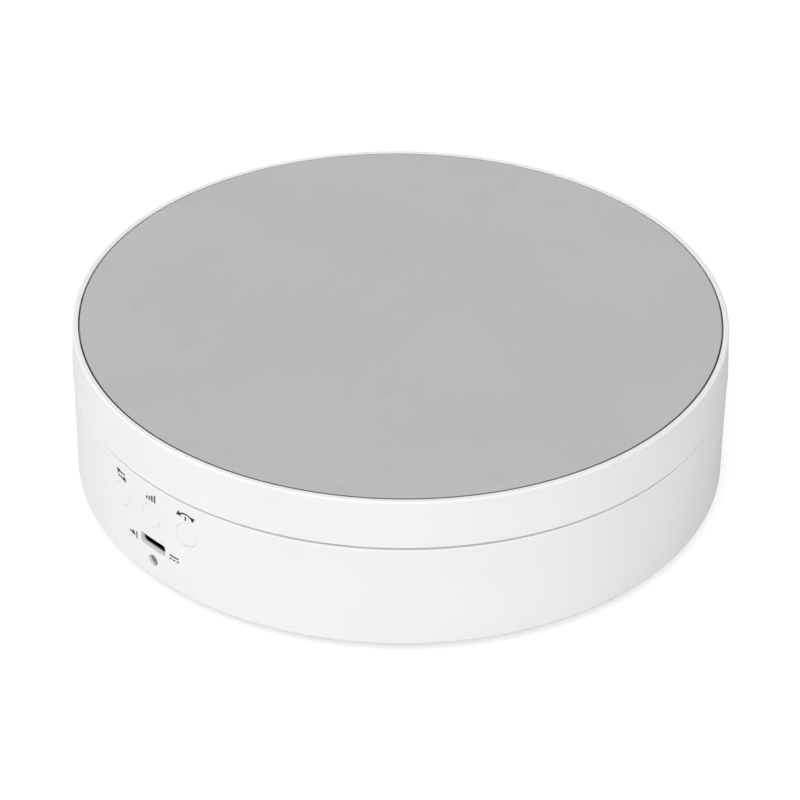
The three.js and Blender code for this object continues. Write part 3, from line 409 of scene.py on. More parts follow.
def base_body():
    """The moulding's section, turned. Rings up the outside keep it even round the openings."""
    rings = [(base_radius, base_low.z + level * ring_pitch) for level in range(2, 24)]
    return turned(rounded([
        (base_bore, base_low.z, 0.15 * MM),
        (base_radius, base_low.z, 0.8 * MM),
        *rings,
        (base_radius, shelf, 0.35 * MM),
        (lip_outside, shelf, 0.3 * MM),
        (lip_outside, deck_top + lip_height, 0.25 * MM),
        (lip_outside - lip_wall, deck_top + lip_height, 0.25 * MM),
        (lip_outside - lip_wall, deck_top, 0.3 * MM),
        (post_radius, deck_top, 0.4 * MM),
        (post_radius, base_high.z, 0.3 * MM),
        (pilot_radius, base_high.z),
        (pilot_radius, deck_under),
        (base_bore, deck_under, 0.4 * MM),
    ]))


def base_holes():
    """Cutters for the front's openings, and for the motor's nose and screws in the deck."""
    start = base_radius - 2 * base_wall
    reach = start + 3 * base_wall
    for node in button_nodes:
        place = middle(node)
        yield moved(bar(button_radius + button_gap, start, reach, 96), frontward(place.x, place.z))
    slot = oblong(slot_width, slot_height, slot_corner, start, reach)
    yield moved(slot, frontward(0, socket_middle.z))
    yield moved(bar(guide_hole_radius, start, reach, 64), frontward(0, guide_middle.z))
    nose_hole = bar(motor_nose_radius, deck_under - MM, deck_top + MM, 64)
    yield moved(nose_hole, shift(y=middle("pinion").y))
    for ear in motor_ears:
        yield moved(bar(pilot_radius, deck_under - MM, deck_top + MM, 32), shift(ear.x, ear.y))


def on_outer_rim(edge):
    """True for the edges where the front's openings come out of the wall."""
    outside = all(abs(v.co.xy.length - base_radius) < 0.03 * MM and v.co.y < 0 for v in edge.verts)
    return outside and len(edge.link_faces) == 2 and edge.calc_face_angle(0) > math.radians(50)


def roller_cheeks(azimuth):
    """Two walls that hold a roller's axle, each with an open slot that the axle drops into."""
    wall, half, slot, apart = 1.8 * MM, 3.5 * MM, 1.1 * MM, 2.8 * MM
    foot, top = deck_middle, roller_middle.z + 1.6 * MM
    bed_half, bed_top = half * 0.8, roller_middle.z - MM
    inner, outer = roller_circle - apart, roller_circle + apart
    for near, far in ((inner - wall, inner), (outer, outer + wall)):
        yield moved(block((near, -half, foot), (far, -slot, top), 0.2 * MM), about(azimuth))
        yield moved(block((near, slot, foot), (far, half, top), 0.2 * MM), about(azimuth))
        bed = block((near, -bed_half, foot), (far, bed_half, bed_top), 0.1 * MM)
        yield moved(bed, about(azimuth))


def post_tube(bore, outside, start, end):
    """A straight tube along +Z, from its bore's radius out to its outside radius."""
    return turned([(bore, start), (outside, start), (outside, end), (bore, end)], 48)


def posts():
    """Posts for the cover's and the board's screws, and the bosses over the motor's ears."""
    circle = middle("cover_screw_1").xy.length
    for azimuth in quarters:
        cover_post = post_tube(pilot_radius, 3.5 * MM, cover_high.z, deck_middle)
        yield moved(cover_post, about(azimuth) @ shift(circle))
    board_back = -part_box("main_board")[0].y
    board_post_length = 4.5 * MM
    for name in ("board_screw_left", "board_screw_right"):
        place = middle(name)
        board_post = post_tube(0.9 * MM, 2.6 * MM, board_back, board_back + board_post_length)
        yield moved(board_post, frontward(place.x, place.z))
    boss_radius, boss_height = 3 * MM, 2.7 * MM
    for ear in motor_ears:
        boss = bar(boss_radius, deck_middle, deck_top + boss_height, 48, 0.4 * MM)
        yield moved(boss, shift(ear.x, ear.y))


class Finish(Nodes):
    """A surface finish: a material with one Principled shader."""

    def __init__(self, name, **sockets):
        super().__init__(bpy.data.materials.new(name))
        self.shader = self.tree.nodes["Principled BSDF"]
        self.place = self.add("ShaderNodeTexCoord", output="Object")
        for socket, value in sockets.items():
            self.set(socket.replace("_", " "), value)

    def set(self, socket, value):
        self.feed(self.shader.inputs[socket], value)

    def noise(self, size, detail=2.0, roughness=0.5, stretch=(1, 1, 1)):
        """Cloudy noise from 0 to 1 whose patches are about size across."""
        place = self.add("ShaderNodeMapping", {}, {"Vector": self.place, "Scale": stretch})
        inputs = {"Vector": place, "Scale": 1 / size, "Detail": detail, "Roughness": roughness}
        return self.add("ShaderNodeTexNoise", {"noise_dimensions": "3D"}, inputs, "Fac")

    def blend(self, first, second, share):
        """A colour between two others. The numbers are the mix node's factor, colours and result."""
        return self.add("ShaderNodeMix", {"data_type": "RGBA"}, {0: share, 6: first, 7: second}, 2)

    def bump(self, height, distance):
        """Raises the surface by distance where height is 1."""
        self.set("Normal", self.add("ShaderNodeBump", {}, {"Height": height, "Distance": distance}))


def grey(level, tint=(1.0, 1.0, 1.0)):
    """A grey that a tint may warm or cool."""
    return (*(level * t for t in tint), 1.0)


def white_moulding():
    """White ABS with a satin spark-eroded skin, faint flow clouds and a few dull rubbed specks."""
    finish = Finish("white_moulding", Specular_IOR_Level=0.35)
    flow = finish.noise(28 * MM, 3.0)
    dust = finish.noise(3.2 * MM, 4.0, 0.6)
    grain = finish.noise(0.16 * MM, 2.0, 0.55)
    base = finish.blend(grey(0.87, (1, 1, 1.004)), grey(0.89), finish.step(flow, 0.3, 0.7))
    specked = finish.blend(base, grey(0.85, (1, 0.998, 0.99)), finish.step(dust, 0.62, 0.8) * 0.5)
    finish.set("Base Color", specked)
    finish.set("Roughness", 0.46 + flow * 0.06 + grain * 0.08)
    finish.bump(grain * 0.8 + dust * 0.2, 0.004 * MM)
    return finish


white_plastic = white_moulding()
base_shape = softened(drilled(base_body(), *base_holes()), on_outer_rim, 0.07 * MM)
cheeks = [cheek for azimuth in quarters for cheek in roller_cheeks(azimuth)]
fitted("base_moulding", joined(base_shape, *posts(), *cheeks), white_plastic, "base", "shell", "base_shell")

# ----------------------------------------------------------------------------------------------------------
# Printed marks.
# Small signs in black pad-printing ink over the buttons and beside the socket: two arrows for the direction,
# rising bars for the speed, a swing for the angle, an arrow for the inlet and the sign for direct current.

stroke = 0.38 * MM
ink_depth = 0.02 * MM
arrowhead = 0.85 * MM
sign_reach = 4 * MM  # every sign fits within this of its middle
slice_width = 0.5 * MM


def flat_bar(u, v, width, height):
    """A thin upright bar of ink centred on (u, v): u runs along the wall and v up it."""
    return block((u - width / 2, -ink_depth, v - height / 2), (u + width / 2, ink_depth, v + height / 2))


def flat_arrow(u, v, size, way):
    """A solid arrowhead whose point lies at (u, v) and faces along the angle way."""
    shape = bmesh.new()
    bmesh.ops.create_cone(shape, cap_ends=True, segments=3, radius1=size, radius2=size, depth=2 * ink_depth)
    to_wall = Matrix.Rotation(math.pi / 2, 4, "X") @ Matrix.Rotation(way, 4, "Z")
    return moved(shape, shift(u, 0, v) @ to_wall @ shift(-size))


def flat_arc(u, v, radius, start, end):
    """An arc of ink round (u, v)."""
    shape = bmesh.new()
    inner, outer = radius - stroke / 2, radius + stroke / 2
    section = [(inner, -ink_depth), (outer, -ink_depth), (outer, ink_depth), (inner, ink_depth)]
    ring = [shape.verts.new((r, 0, h)) for r, h in section]
    face = shape.faces.new(ring)
    bmesh.ops.rotate(shape, verts=ring, cent=(0, 0, 0), matrix=Matrix.Rotation(start, 3, "Z"))
    bmesh.ops.spin(shape, geom=[face], cent=(0, 0, 0), axis=(0, 0, 1), angle=end - start, steps=16)
    bmesh.ops.holes_fill(shape, edges=[e for e in shape.edges if e.is_boundary], sides=4)
    bmesh.ops.recalc_face_normals(shape, faces=shape.faces)
    return moved(shape, shift(u, 0, v) @ Matrix.Rotation(math.pi / 2, 4, "X"))


def wrapped(shape, azimuth, height):
    """Slices a flat mark and bends it round the wall at an azimuth and a height."""
    for i in range(1, 16):
        at = -sign_reach + i * slice_width
        everything = shape.verts[:] + shape.edges[:] + shape.faces[:]
        bmesh.ops.bisect_plane(shape, geom=everything, plane_co=(at, 0, 0), plane_no=(1, 0, 0))
    for vert in shape.verts:
        along, depth, up = vert.co
        vert.co = heading(azimuth + along / base_radius) * (base_radius - depth) + Vector((0, 0, height + up))
    bmesh.ops.recalc_face_normals(shape, faces=shape.faces)
    return shape


def flat_dart(u, v, length, way):
    """An arrow centred on (u, v) that points right for way 1 and left for way -1."""
    stem = flat_bar(u - way * arrowhead * 0.55, v, length - arrowhead * 1.1, stroke)
    return joined(stem, flat_arrow(u + way * length / 2, v, arrowhead, 0 if way > 0 else math.pi))


def direction_sign():
    return joined(flat_dart(-0.35 * MM, 0.6 * MM, 3.4 * MM, -1), flat_dart(0.35 * MM, -0.6 * MM, 3.4 * MM, 1))


def speed_sign():
    heights = [0.7 * MM, 1.1 * MM, 1.5 * MM, 1.9 * MM]
    pitch, width = 0.86 * MM, 0.46 * MM
    bars = [flat_bar((i - 1.5) * pitch, (h - heights[-1]) / 2, width, h) for i, h in enumerate(heights)]
    return joined(*bars)


def angle_sign():
    drop, radius, swing = -2.05 * MM, 2.6 * MM, math.radians(44)
    arc = flat_arc(0, drop, radius, math.pi / 2 - swing, math.pi / 2 + swing)
    tips = []
    for side in (-1, 1):
        at = math.pi / 2 - side * (swing + math.radians(18))
        u, v = radius * math.cos(at), drop + radius * math.sin(at)
        tips.append(flat_arrow(u, v, arrowhead, at - side * math.pi / 2))
    return joined(arc, *tips, flat_bar(0, -0.6 * MM, stroke, 1.1 * MM))


def inlet_sign():
    return joined(flat_dart(-0.35 * MM, 0, 2.3 * MM, 1), flat_bar(1.15 * MM, 0, stroke, 1.8 * MM))


def direct_current_sign():
    dashes = [flat_bar(i * 1.05 * MM, -0.45 * MM, 0.65 * MM, stroke) for i in (-1, 0, 1)]
    return joined(flat_bar(0, 0.4 * MM, 2.75 * MM, stroke), *dashes)


def black_ink():
    """Matt black ink, a little thin in places."""
    finish = Finish("black_ink")
    cover = finish.noise(0.12 * MM, 3.0)
    finish.set("Base Color", finish.blend(grey(0.012), grey(0.045), finish.step(cover, 0.45, 0.8)))
    finish.set("Roughness", 0.4 + cover * 0.2)
    finish.bump(cover, 0.004 * MM)
    return finish


fitted("printed_marks", joined(
    wrapped(direction_sign(), math.radians(-8.3), 23.1 * MM),
    wrapped(speed_sign(), 0, 23.1 * MM),
    wrapped(angle_sign(), math.radians(8.2), 23.2 * MM),
    wrapped(inlet_sign(), math.radians(-5.2), 10.2 * MM),
    wrapped(direct_current_sign(), math.radians(5.3), 10.4 * MM),
), black_ink(), "base", "black_plastic")

# ----------------------------------------------------------------------------------------------------------
# Buttons.
# Three round caps in the same white ABS. Each face follows the wall's curve, and a flange behind the wall
# keeps the cap in. The cap's back rests on the plunger of its switch.

face_proud = 0.01 * MM
flange_radius = 3.85 * MM


def button_cap(node):
    """A cap turned about its own axis, then bent in front of its back so that it follows the wall."""
    place = middle(node)
    cap_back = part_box(node)[1].y
    flange_front = base_bore - 0.3 * MM
    face = base_radius + face_proud
    outline = rounded([
        (0, -cap_back),
        (flange_radius, -cap_back, 0.2 * MM),
        (flange_radius, flange_front, 0.15 * MM),
        (button_radius, flange_front),
        (button_radius, face, 0.1 * MM),
        (2.1 * MM, face),
        (1.2 * MM, face),
        (0, face),
    ], 4, 0.08 * MM)
    cap = moved(turned(outline, 96, closed=False), frontward(place.x, place.z))
    for vert in cap.verts:
        if vert.co.y < cap_back - 0.3 * MM:
            vert.co.y += base_radius - math.sqrt(base_radius ** 2 - vert.co.x ** 2)
    return cap


for node in button_nodes:
    fitted(node + "_cap", button_cap(node), white_plastic, node, "shell", node)

# ----------------------------------------------------------------------------------------------------------
# Power socket.
# A shell folded from plated steel sheet with a flared mouth, and a black plastic insert whose tongue carries
# the contacts. It stands on the circuit board behind its slot in the wall.

socket_low, socket_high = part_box("socket_shell")
socket_width = socket_high.x - socket_low.x
socket_height = socket_high.z - socket_low.z
socket_mouth = socket_low.y - 0.5 * MM  # the sleeve reaches this far into the wall's slot
sheet = 0.2 * MM


def socket_sleeve():
    """Loops of the folded sheet from the board out to the mouth, in along the inside, and back."""
    shape = bmesh.new()
    back, front = -socket_high.y, -socket_mouth
    stations = [(0, back), (0, front - 0.5 * MM), (0.08 * MM, front - 0.2 * MM), (0.14 * MM, front),
                (0.02 * MM - sheet, front), (-sheet, front - 0.35 * MM), (-sheet, back)]
    loops = []
    for grow, depth in stations:
        w, h = socket_width / 2 + grow, socket_height / 2 + min(grow, 0.1 * MM)
        corner = max(0.7 * MM + grow, 0.3 * MM)
        loops.append([shape.verts.new((x, y, depth)) for x, y in oblong_outline(w, h, corner)])
    rings = []
    for loop in loops:
        rings.append([shape.edges.new(pair) for pair in zip(loop, loop[1:] + loop[:1])])
    for first, second in zip(rings, rings[1:] + rings[:1]):
        bmesh.ops.bridge_loops(shape, edges=first + second)
    bmesh.ops.recalc_face_normals(shape, faces=shape.faces)
    return moved(shape, frontward(0, socket_middle.z))


def socket_insert():
    """The plastic body: a core, the tongue, and a floor and two sides that line the shell in black as painted
    shade.
    """
    back, front = -socket_high.y, -socket_mouth - 0.12 * MM
    root = back + 0.8 * MM
    side = socket_width / 2 - sheet - 0.05 * MM
    floor = sheet + 0.05 * MM - socket_height / 2
    thick, corner_room, end_room = 0.25 * MM, 0.5 * MM, 0.45 * MM
    core = oblong(6.4 * MM, 1.5 * MM, 0.35 * MM, back, back + 1.6 * MM)
    tongue = block((-2.7 * MM, -0.35 * MM, root), (2.7 * MM, 0.5 * MM, front - 0.25 * MM), 0.1 * MM)
    # Black sheets over the shell's floor and sides: painted shade that darkens the socket's inside.
    shade_lining = [block((corner_room - side, floor, root), (side - corner_room, floor + thick, front))]
    for x in (-side, side - thick):
        shade_lining.append(block((x, floor + end_room, root), (x + thick, -floor - end_room, front)))
    return moved(joined(core, tongue, *shade_lining), frontward(0, socket_middle.z))


def plated_steel(name="plated_steel", tone=0.5):
    """Bright plated steel with fine rolling marks and a little tarnish. A lower tone gives a darker copy, as
    painted shade.
    """
    finish = Finish(name, Metallic=1.0)
    rolled = finish.noise(0.3 * MM, 3.0, 0.6, (0.12, 1, 1))
    tarnish = finish.noise(2.4 * MM, 4.0, 0.55)
    base = finish.blend(grey(tone, (1, 0.99, 0.97)), grey(tone * 1.2), finish.step(rolled, 0.3, 0.7))
    dulled = finish.blend(base, grey(tone * 0.75, (1, 0.97, 0.92)), finish.step(tarnish, 0.55, 0.8))
    finish.set("Base Color", dulled)
    finish.set("Roughness", 0.26 + rolled * 0.14 + tarnish * 0.1)
    finish.bump(rolled, 0.003 * MM)
    return finish


def black_moulding():
    """Black plastic with a fine grain, for the socket, the switches and the chips."""
    finish = Finish("black_moulding")
    cloud = finish.noise(1.6 * MM, 3.0)
    grain = finish.noise(0.1 * MM, 2.0)
    clouded = finish.step(cloud, 0.3, 0.7)
    finish.set("Base Color", finish.blend(grey(0.012), grey(0.024, (1, 1, 1.03)), clouded))
    finish.set("Roughness", 0.42 + cloud * 0.12 + grain * 0.1)
    finish.bump(grain, 0.005 * MM)
    return finish


steel = plated_steel()
black_plastic = black_moulding()
# A darker copy of the plated steel for the socket's shell: painted shade for the shell deep in its slot.
shade_darkened_steel = plated_steel("shade_darkened_steel", 0.34)
fitted("socket_sleeve", socket_sleeve(), shade_darkened_steel, "base", "screw_steel", "socket_shell")
fitted("socket_core", socket_insert(), black_plastic, "base", "black_plastic", "socket_insert")

# ----------------------------------------------------------------------------------------------------------
# Indicator light.
# A clear rod carries the light of a small lamp on the board through the wall. Its face is frosted, and its
# grey is painted shade for the dark hole round it.

guide_low, guide_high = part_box("light_guide")
rod_radius = 1.3 * MM
collar_radius = 2.1 * MM
collar_length = 1.1 * MM


def light_rod():
    """A round rod with a collar behind the wall and a slightly domed face."""
    back, front = -guide_high.y, -guide_low.y - 0.2 * MM
    collar_front = base_bore - 0.3 * MM
    outline = rounded([
        (0, back),
        (rod_radius, back, 0.15 * MM),
        (rod_radius, collar_front - collar_length),
        (collar_radius, collar_front - collar_length),
        (collar_radius, collar_front),
        (rod_radius, collar_front),
        (rod_radius, front, 0.25 * MM),
        (0.6 * MM, front - 0.02 * MM),
        (0, front - 0.03 * MM),
    ], 4, 0.06 * MM)
    return moved(turned(outline, 64, closed=False), frontward(0, guide_middle.z))


def frosted_clear():
    """Clear plastic with a frosted skin, tinted grey as painted shade for its dark hole."""
    finish = Finish("frosted_clear", IOR=1.49, Transmission_Weight=0.35)
    frost = finish.noise(0.12 * MM, 3.0, 0.6)
    cloud = finish.noise(0.9 * MM, 2.0)
    # The grey is painted shade for the rod's face down in its dark hole.
    finish.set("Base Color", finish.blend(grey(0.27, (1, 0.99, 1.0)), grey(0.37, (1, 0.99, 1.0)), cloud))
    finish.set("Roughness", 0.3 + frost * 0.25)
    finish.bump(frost, 0.006 * MM)
    return finish


clear_plastic = frosted_clear()
fitted("light_rod", light_rod(), clear_plastic, "base", "clear_plastic", "light_guide")


def dressed(finish, *names):
    """Gives nodes of the frame their finish."""
    for name in names:
        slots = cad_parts[name].data.materials
        slots.clear()
        slots.append(finish.owner)


dressed(clear_plastic, "indicator_lamp")

# ----------------------------------------------------------------------------------------------------------
# Bottom cover.
# A flat round ABS moulding that closes the base. It has a seat for each foot, a sunk hole for each screw and
# a shallow sunk ring in its underside. Four screws hold it to the base's posts.

foot_nodes = [f"foot_{i}" for i in (1, 2, 3, 4)]
cover_screws = [f"cover_screw_{i}" for i in (1, 2, 3, 4)]
seat_radius = 6.1 * MM
seat_depth = 0.8 * MM
sunk_radius = 2.7 * MM
shank_hole_radius = 1.35 * MM


def cover_body():
    """The cover's section, turned. Rings across the underside keep it even round the seats and holes."""
    radius = cover_high.x
    rings = [(level * ring_pitch, cover_low.z) for level in range(45, 69)]
    recess_in, recess_out, recess = 30 * MM, 43 * MM, 0.4 * MM
    return turned(rounded([
        (0, cover_low.z),
        (recess_in, cover_low.z, 0.2 * MM),
        (recess_in + recess, cover_low.z + recess, 0.2 * MM),
        (recess_out - recess, cover_low.z + recess, 0.2 * MM),
        (recess_out, cover_low.z, 0.2 * MM),
        *rings,
        (radius, cover_low.z, 0.3 * MM),
        (radius, cover_high.z, 0.2 * MM),
        (0, cover_high.z),
    ], 4, 0.1 * MM), closed=False)


def cover_holes():
    """Cutters for the feet's seats, the screws' sunk heads and their shanks."""
    below = cover_low.z - MM
    for name in foot_nodes:
        place = middle(name)
        yield moved(bar(seat_radius, below, cover_low.z + seat_depth, 96), shift(place.x, place.y))
    for name in cover_screws:
        place = middle(name)
        yield moved(bar(sunk_radius, below, cover_low.z + MM, 64), shift(place.x, place.y))
        yield moved(bar(shank_hole_radius, below, cover_high.z + MM, 48), shift(place.x, place.y))


def on_cover_rim(edge):
    """True for the edges where the seats and the screw holes come out of the cover's underside."""
    outside = all(abs(v.co.z - cover_low.z) < 0.01 * MM for v in edge.verts)
    return outside and len(edge.link_faces) == 2 and edge.calc_face_angle(0) > math.radians(60)


cover_shape = softened(drilled(cover_body(), *cover_holes()), on_cover_rim, 0.15 * MM)
fitted("cover_moulding", cover_shape, white_plastic, "base", "shell", "bottom_cover")

# ----------------------------------------------------------------------------------------------------------
# Feet.
# Four round pads of black rubber, stuck in the cover's seats. Each stands on a raised ring.


def foot_pad(node):
    low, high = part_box(node)
    place = middle(node)
    radius = (high.x - low.x) / 2
    hollow, hollow_radius = 0.35 * MM, 3.6 * MM
    pad = turned(rounded([
        (0, hollow),
        (hollow_radius, hollow, 0.2 * MM),
        (hollow_radius + 0.5 * MM, 0, 0.2 * MM),
        (radius, 0, 0.5 * MM),
        (radius, high.z, 0.1 * MM),
        (0, high.z),
    ], 5, 0.08 * MM), 96, closed=False)
    return moved(pad, shift(place.x, place.y))


def foot_rubber():
    """Matt black rubber, greyer where it rubs on the table."""
    finish = Finish("foot_rubber")
    grain = finish.noise(0.14 * MM, 4.0, 0.65)
    scuff = finish.noise(1.5 * MM, 3.0, 0.6)
    base = finish.blend(grey(0.018), grey(0.032, (1, 1, 1.02)), grain)
    finish.set("Base Color", finish.blend(base, grey(0.075, (1, 0.99, 0.97)), finish.step(scuff, 0.52, 0.8)))
    finish.set("Roughness", 0.72 + grain * 0.2)
    finish.bump(grain * 0.7 + scuff * 0.3, 0.03 * MM)
    return finish


rubber = foot_rubber()
for node in foot_nodes:
    fitted(node + "_pad", foot_pad(node), rubber, "base", "foot_rubber", node)

# ----------------------------------------------------------------------------------------------------------
# Screws.
# Plated self-tapping screws with pan heads and cross recesses. They hold the cover, the ring gear, the motor,
# the board and the washer on the pivot post.


def screw_shape(head, height, shank, length):
    """A screw whose head stands on z = 0 and whose threaded shank hangs below."""
    outline = [(0, -length), (0.3 * shank, -length)]
    pitch, root = 0.9 * MM, 0.76
    level = -length + 1.3 * MM
    while level < -1.0 * MM:
        outline += [(shank * root, level), (shank, level + 0.4 * pitch), (shank * root, level + 0.8 * pitch)]
        level += pitch
    outline += [(shank * root, -0.2 * MM), (shank * root, 0), (head - 0.08 * MM, 0)]
    outline += [(head, 0.1 * MM), (head, height * 0.35)]
    for step in range(1, 7):
        sweep = step / 7 * math.pi / 2
        outline.append((head * (0.45 + 0.55 * math.cos(sweep)), height * (0.35 + 0.65 * math.sin(sweep))))
    outline += [(head * 0.45, height), (0, height)]
    body = turned(outline, 48, closed=False)
    arm, thin, recess_floor = head * 0.55, 0.28 * MM, height - 0.6 * MM
    recess = [block((-x, -y, recess_floor), (x, y, height + MM)) for x, y in ((arm, thin), (thin, arm))]
    return drilled(body, *recess)


def fit_screw(node, body, head, height, shank, length, towards):
    """Puts a screw where its node is, with its head towards a direction."""
    along = Vector(towards)
    seat = middle(node) + along * ((length + height) / 2 - height)
    turn = along.to_track_quat("Z", "X").to_matrix().to_4x4()
    shape = moved(screw_shape(head, height, shank, length), Matrix.Translation(seat) @ turn)
    bmesh.ops.recalc_face_normals(shape, faces=shape.faces)
    fitted(node + "_threaded", shape, steel, body, "screw_steel", node)


down, up, back = (0, 0, -1), (0, 0, 1), (0, 1, 0)
for node in cover_screws:
    fit_screw(node, "base", 2.6 * MM, 0.9 * MM, 1.15 * MM, 8 * MM, down)
for node in ("gear_screw_1", "gear_screw_2", "gear_screw_3"):
    fit_screw(node, "turntable", 2.5 * MM, 0.9 * MM, 1.15 * MM, 4.6 * MM, down)
for node in ("motor_screw_left", "motor_screw_right"):
    fit_screw(node, "base", 2.8 * MM, 1.2 * MM, 1.15 * MM, 4.6 * MM, down)
for node in ("board_screw_left", "board_screw_right"):
    fit_screw(node, "base", 1.9 * MM, 0.9 * MM, 0.8 * MM, 5 * MM, back)
fit_screw("pivot_screw", "base", 2.8 * MM, 1.2 * MM, 1.15 * MM, 9 * MM, up)

# ----------------------------------------------------------------------------------------------------------
# Tray.
# The turning half of the casing, in the same white ABS: a skirt with a rounded rim, a floor that the disc
# lies on, a hub for the bush, a track for the rollers, and ribs between the track and the skirt.

tray_radius = tray_high.x
tray_bore = tray_radius - 1.75 * MM
rim_radius = tray_radius - 0.5 * MM
disc_low, disc_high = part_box("top_disc")
floor_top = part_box("disc_adhesive")[0].z
floor_under = floor_top - 2 * MM
track = floor_under - 0.55 * MM
bush_low, bush_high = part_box("centre_bush")
hub_radius = bush_high.x + 4 * MM
gear_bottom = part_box("ring_gear")[0].z


def tray_body():
    """The moulding's section, turned, from the hub's foot out to the rim and back over the floor."""
    track_half = 3.5 * MM
    track_in, track_out = roller_circle - track_half, roller_circle + track_half
    return turned(rounded([
        (bush_high.x, bush_low.z),
        (hub_radius, bush_low.z, 0.3 * MM),
        (hub_radius, floor_under, 0.5 * MM),
        (track_in, floor_under),
        (track_in, track, 0.15 * MM),
        (track_out, track, 0.15 * MM),
        (track_out, floor_under),
        (tray_bore, floor_under, 0.4 * MM),
        (tray_bore, tray_low.z, 0.2 * MM),
        (tray_radius, tray_low.z, 0.25 * MM),
        (rim_radius, tray_high.z, 0.38 * MM),
        (tray_bore, tray_high.z, 0.1 * MM),
        (tray_bore, floor_top, 0.2 * MM),
        (hub_radius - 2 * MM, floor_top, 0.2 * MM),
        (hub_radius - 2 * MM, bush_high.z),
        (bush_high.x, bush_high.z),
    ], hold=0.08 * MM))


def tray_ribs():
    """Twelve ribs under the floor, from the track out to the skirt."""
    low = (roller_circle + 2.5 * MM, -0.6 * MM, floor_under - 2 * MM)
    high = (tray_bore + 0.8 * MM, 0.6 * MM, floor_under + MM)
    return [moved(block(low, high, 0.15 * MM), about(math.tau * i / 12)) for i in range(12)]


def gear_bosses():
    """Three bosses that the ring gear is screwed to."""
    places = [middle(f"gear_screw_{i}") for i in (1, 2, 3)]
    foot, top = gear_bottom + 2 * MM, floor_under + MM
    return [moved(bar(3.2 * MM, foot, top), shift(p.x, p.y)) for p in places]


tray_shape = joined(tray_body(), *tray_ribs(), *gear_bosses())
fitted("tray_moulding", tray_shape, white_plastic, "turntable", "shell", "tray_shell")

# ----------------------------------------------------------------------------------------------------------
# Display disc.
# A light grey plate with a fine matt grain, dropped into the tray. An adhesive film holds it down.


def disc_grain():
    """Fine matt grain over very faint cooler clouds, and painted shade along the edge, where the gap round the
    disc is dark.
    """
    finish = Finish("disc_grey")
    grain = finish.noise(0.34 * MM, 4.0, 0.65)
    cloud = finish.noise(34 * MM, 3.0)
    patch = finish.noise(9 * MM, 2.0, 0.5)
    base = finish.blend(grey(0.495), grey(0.515), finish.step(cloud, 0.3, 0.7))
    cooled = finish.blend(base, grey(0.475, (0.955, 0.99, 1.03)), finish.step(patch, 0.6, 0.76) * 0.6)
    grained = finish.blend(cooled, grey(0.6), finish.step(grain, 0.38, 0.72) * 0.5)
    flat = finish.add("ShaderNodeVectorMath", {"operation": "MULTIPLY"}, {0: finish.place, 1: (1, 1, 0)})
    radius = finish.add("ShaderNodeVectorMath", {"operation": "LENGTH"}, {0: flat}, "Value")
    # Painted shade: the disc's edge and side go dark grey, standing for the shadow in the gap to the tray's
    # rim.
    painted_edge_shade = finish.step(radius, disc_high.x - 0.07 * MM, disc_high.x - 0.03 * MM)
    finish.set("Base Color", finish.blend(grained, grey(0.17), painted_edge_shade))
    finish.set("Roughness", 0.5 + cloud * 0.06 + grain * 0.1)
    finish.bump(grain, 0.008 * MM)
    return finish


def disc_plate():
    return turned(rounded([
        (0, disc_low.z),
        (disc_high.x, disc_low.z, 0.1 * MM),
        (disc_high.x, disc_high.z, 0.12 * MM),
        (0, disc_high.z),
    ], 4, 0.12 * MM), closed=False)


def sticky_film():
    """Yellowish double-sided film with a trace of fibre."""
    finish = Finish("sticky_film")
    cloud = finish.noise(6 * MM, 4.0)
    fibre = finish.noise(0.4 * MM, 3.0)
    finish.set("Base Color", finish.blend((0.66, 0.62, 0.5, 1), (0.76, 0.73, 0.62, 1), cloud))
    finish.set("Roughness", 0.55 + fibre * 0.25)
    finish.bump(fibre, 0.02 * MM)
    return finish


fitted("display_disc", disc_plate(), disc_grain(), "turntable", "disc", "top_disc")
dressed(sticky_film(), "disc_adhesive")

# ----------------------------------------------------------------------------------------------------------
# Rollers and their axles.
# Four small wheels of natural acetal carry the tray's track. Each turns on a plain steel pin that lies in the
# slots of two cheeks on the deck.


roller_low, roller_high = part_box("roller_1")
roller_radius = (roller_high.z - roller_low.z) / 2
roller_bore = 1.08 * MM
roller_half = 2.5 * MM
tyre = 0.5 * MM
pin_radius = MM
pin_half = 4.6 * MM
lying_outward = shift(roller_circle, 0, roller_middle.z) @ Matrix.Rotation(math.pi / 2, 4, "Y")


def roller_wheel():
    """A wheel with a sunk web on each side, between its hub and its tyre."""
    web = roller_half - 0.25 * MM
    side = roller_half - 0.05 * MM
    tread = roller_half - 0.2 * MM
    return turned(rounded([
        (roller_bore, -roller_half),
        (2.4 * MM, -roller_half),
        (2.5 * MM, -web),
        (roller_radius - tyre, -web),
        (roller_radius - tyre, -side),
        (roller_radius, -tread, 0.35 * MM),
        (roller_radius, tread, 0.35 * MM),
        (roller_radius - tyre, side),
        (roller_radius - tyre, web),
        (2.5 * MM, web),
        (2.4 * MM, roller_half),
        (roller_bore, roller_half),
    ], 4, 0.05 * MM), 64)


def natural_acetal():
    """Slightly waxy off-white plastic with faint grease clouds."""
    finish = Finish("natural_acetal", Subsurface_Weight=0.1, Subsurface_Scale=0.001)
    cloud = finish.noise(5 * MM, 3.0)
    grease = finish.noise(2.2 * MM, 4.0, 0.6)
    base = finish.blend((0.74, 0.72, 0.65, 1), (0.8, 0.785, 0.72, 1), cloud)
    finish.set("Base Color", finish.blend(base, (0.66, 0.63, 0.53, 1), finish.step(grease, 0.58, 0.78) * 0.6))
    finish.set("Roughness", 0.3 + cloud * 0.1 + grease * 0.14)
    finish.bump(grease, 0.01 * MM)
    return finish


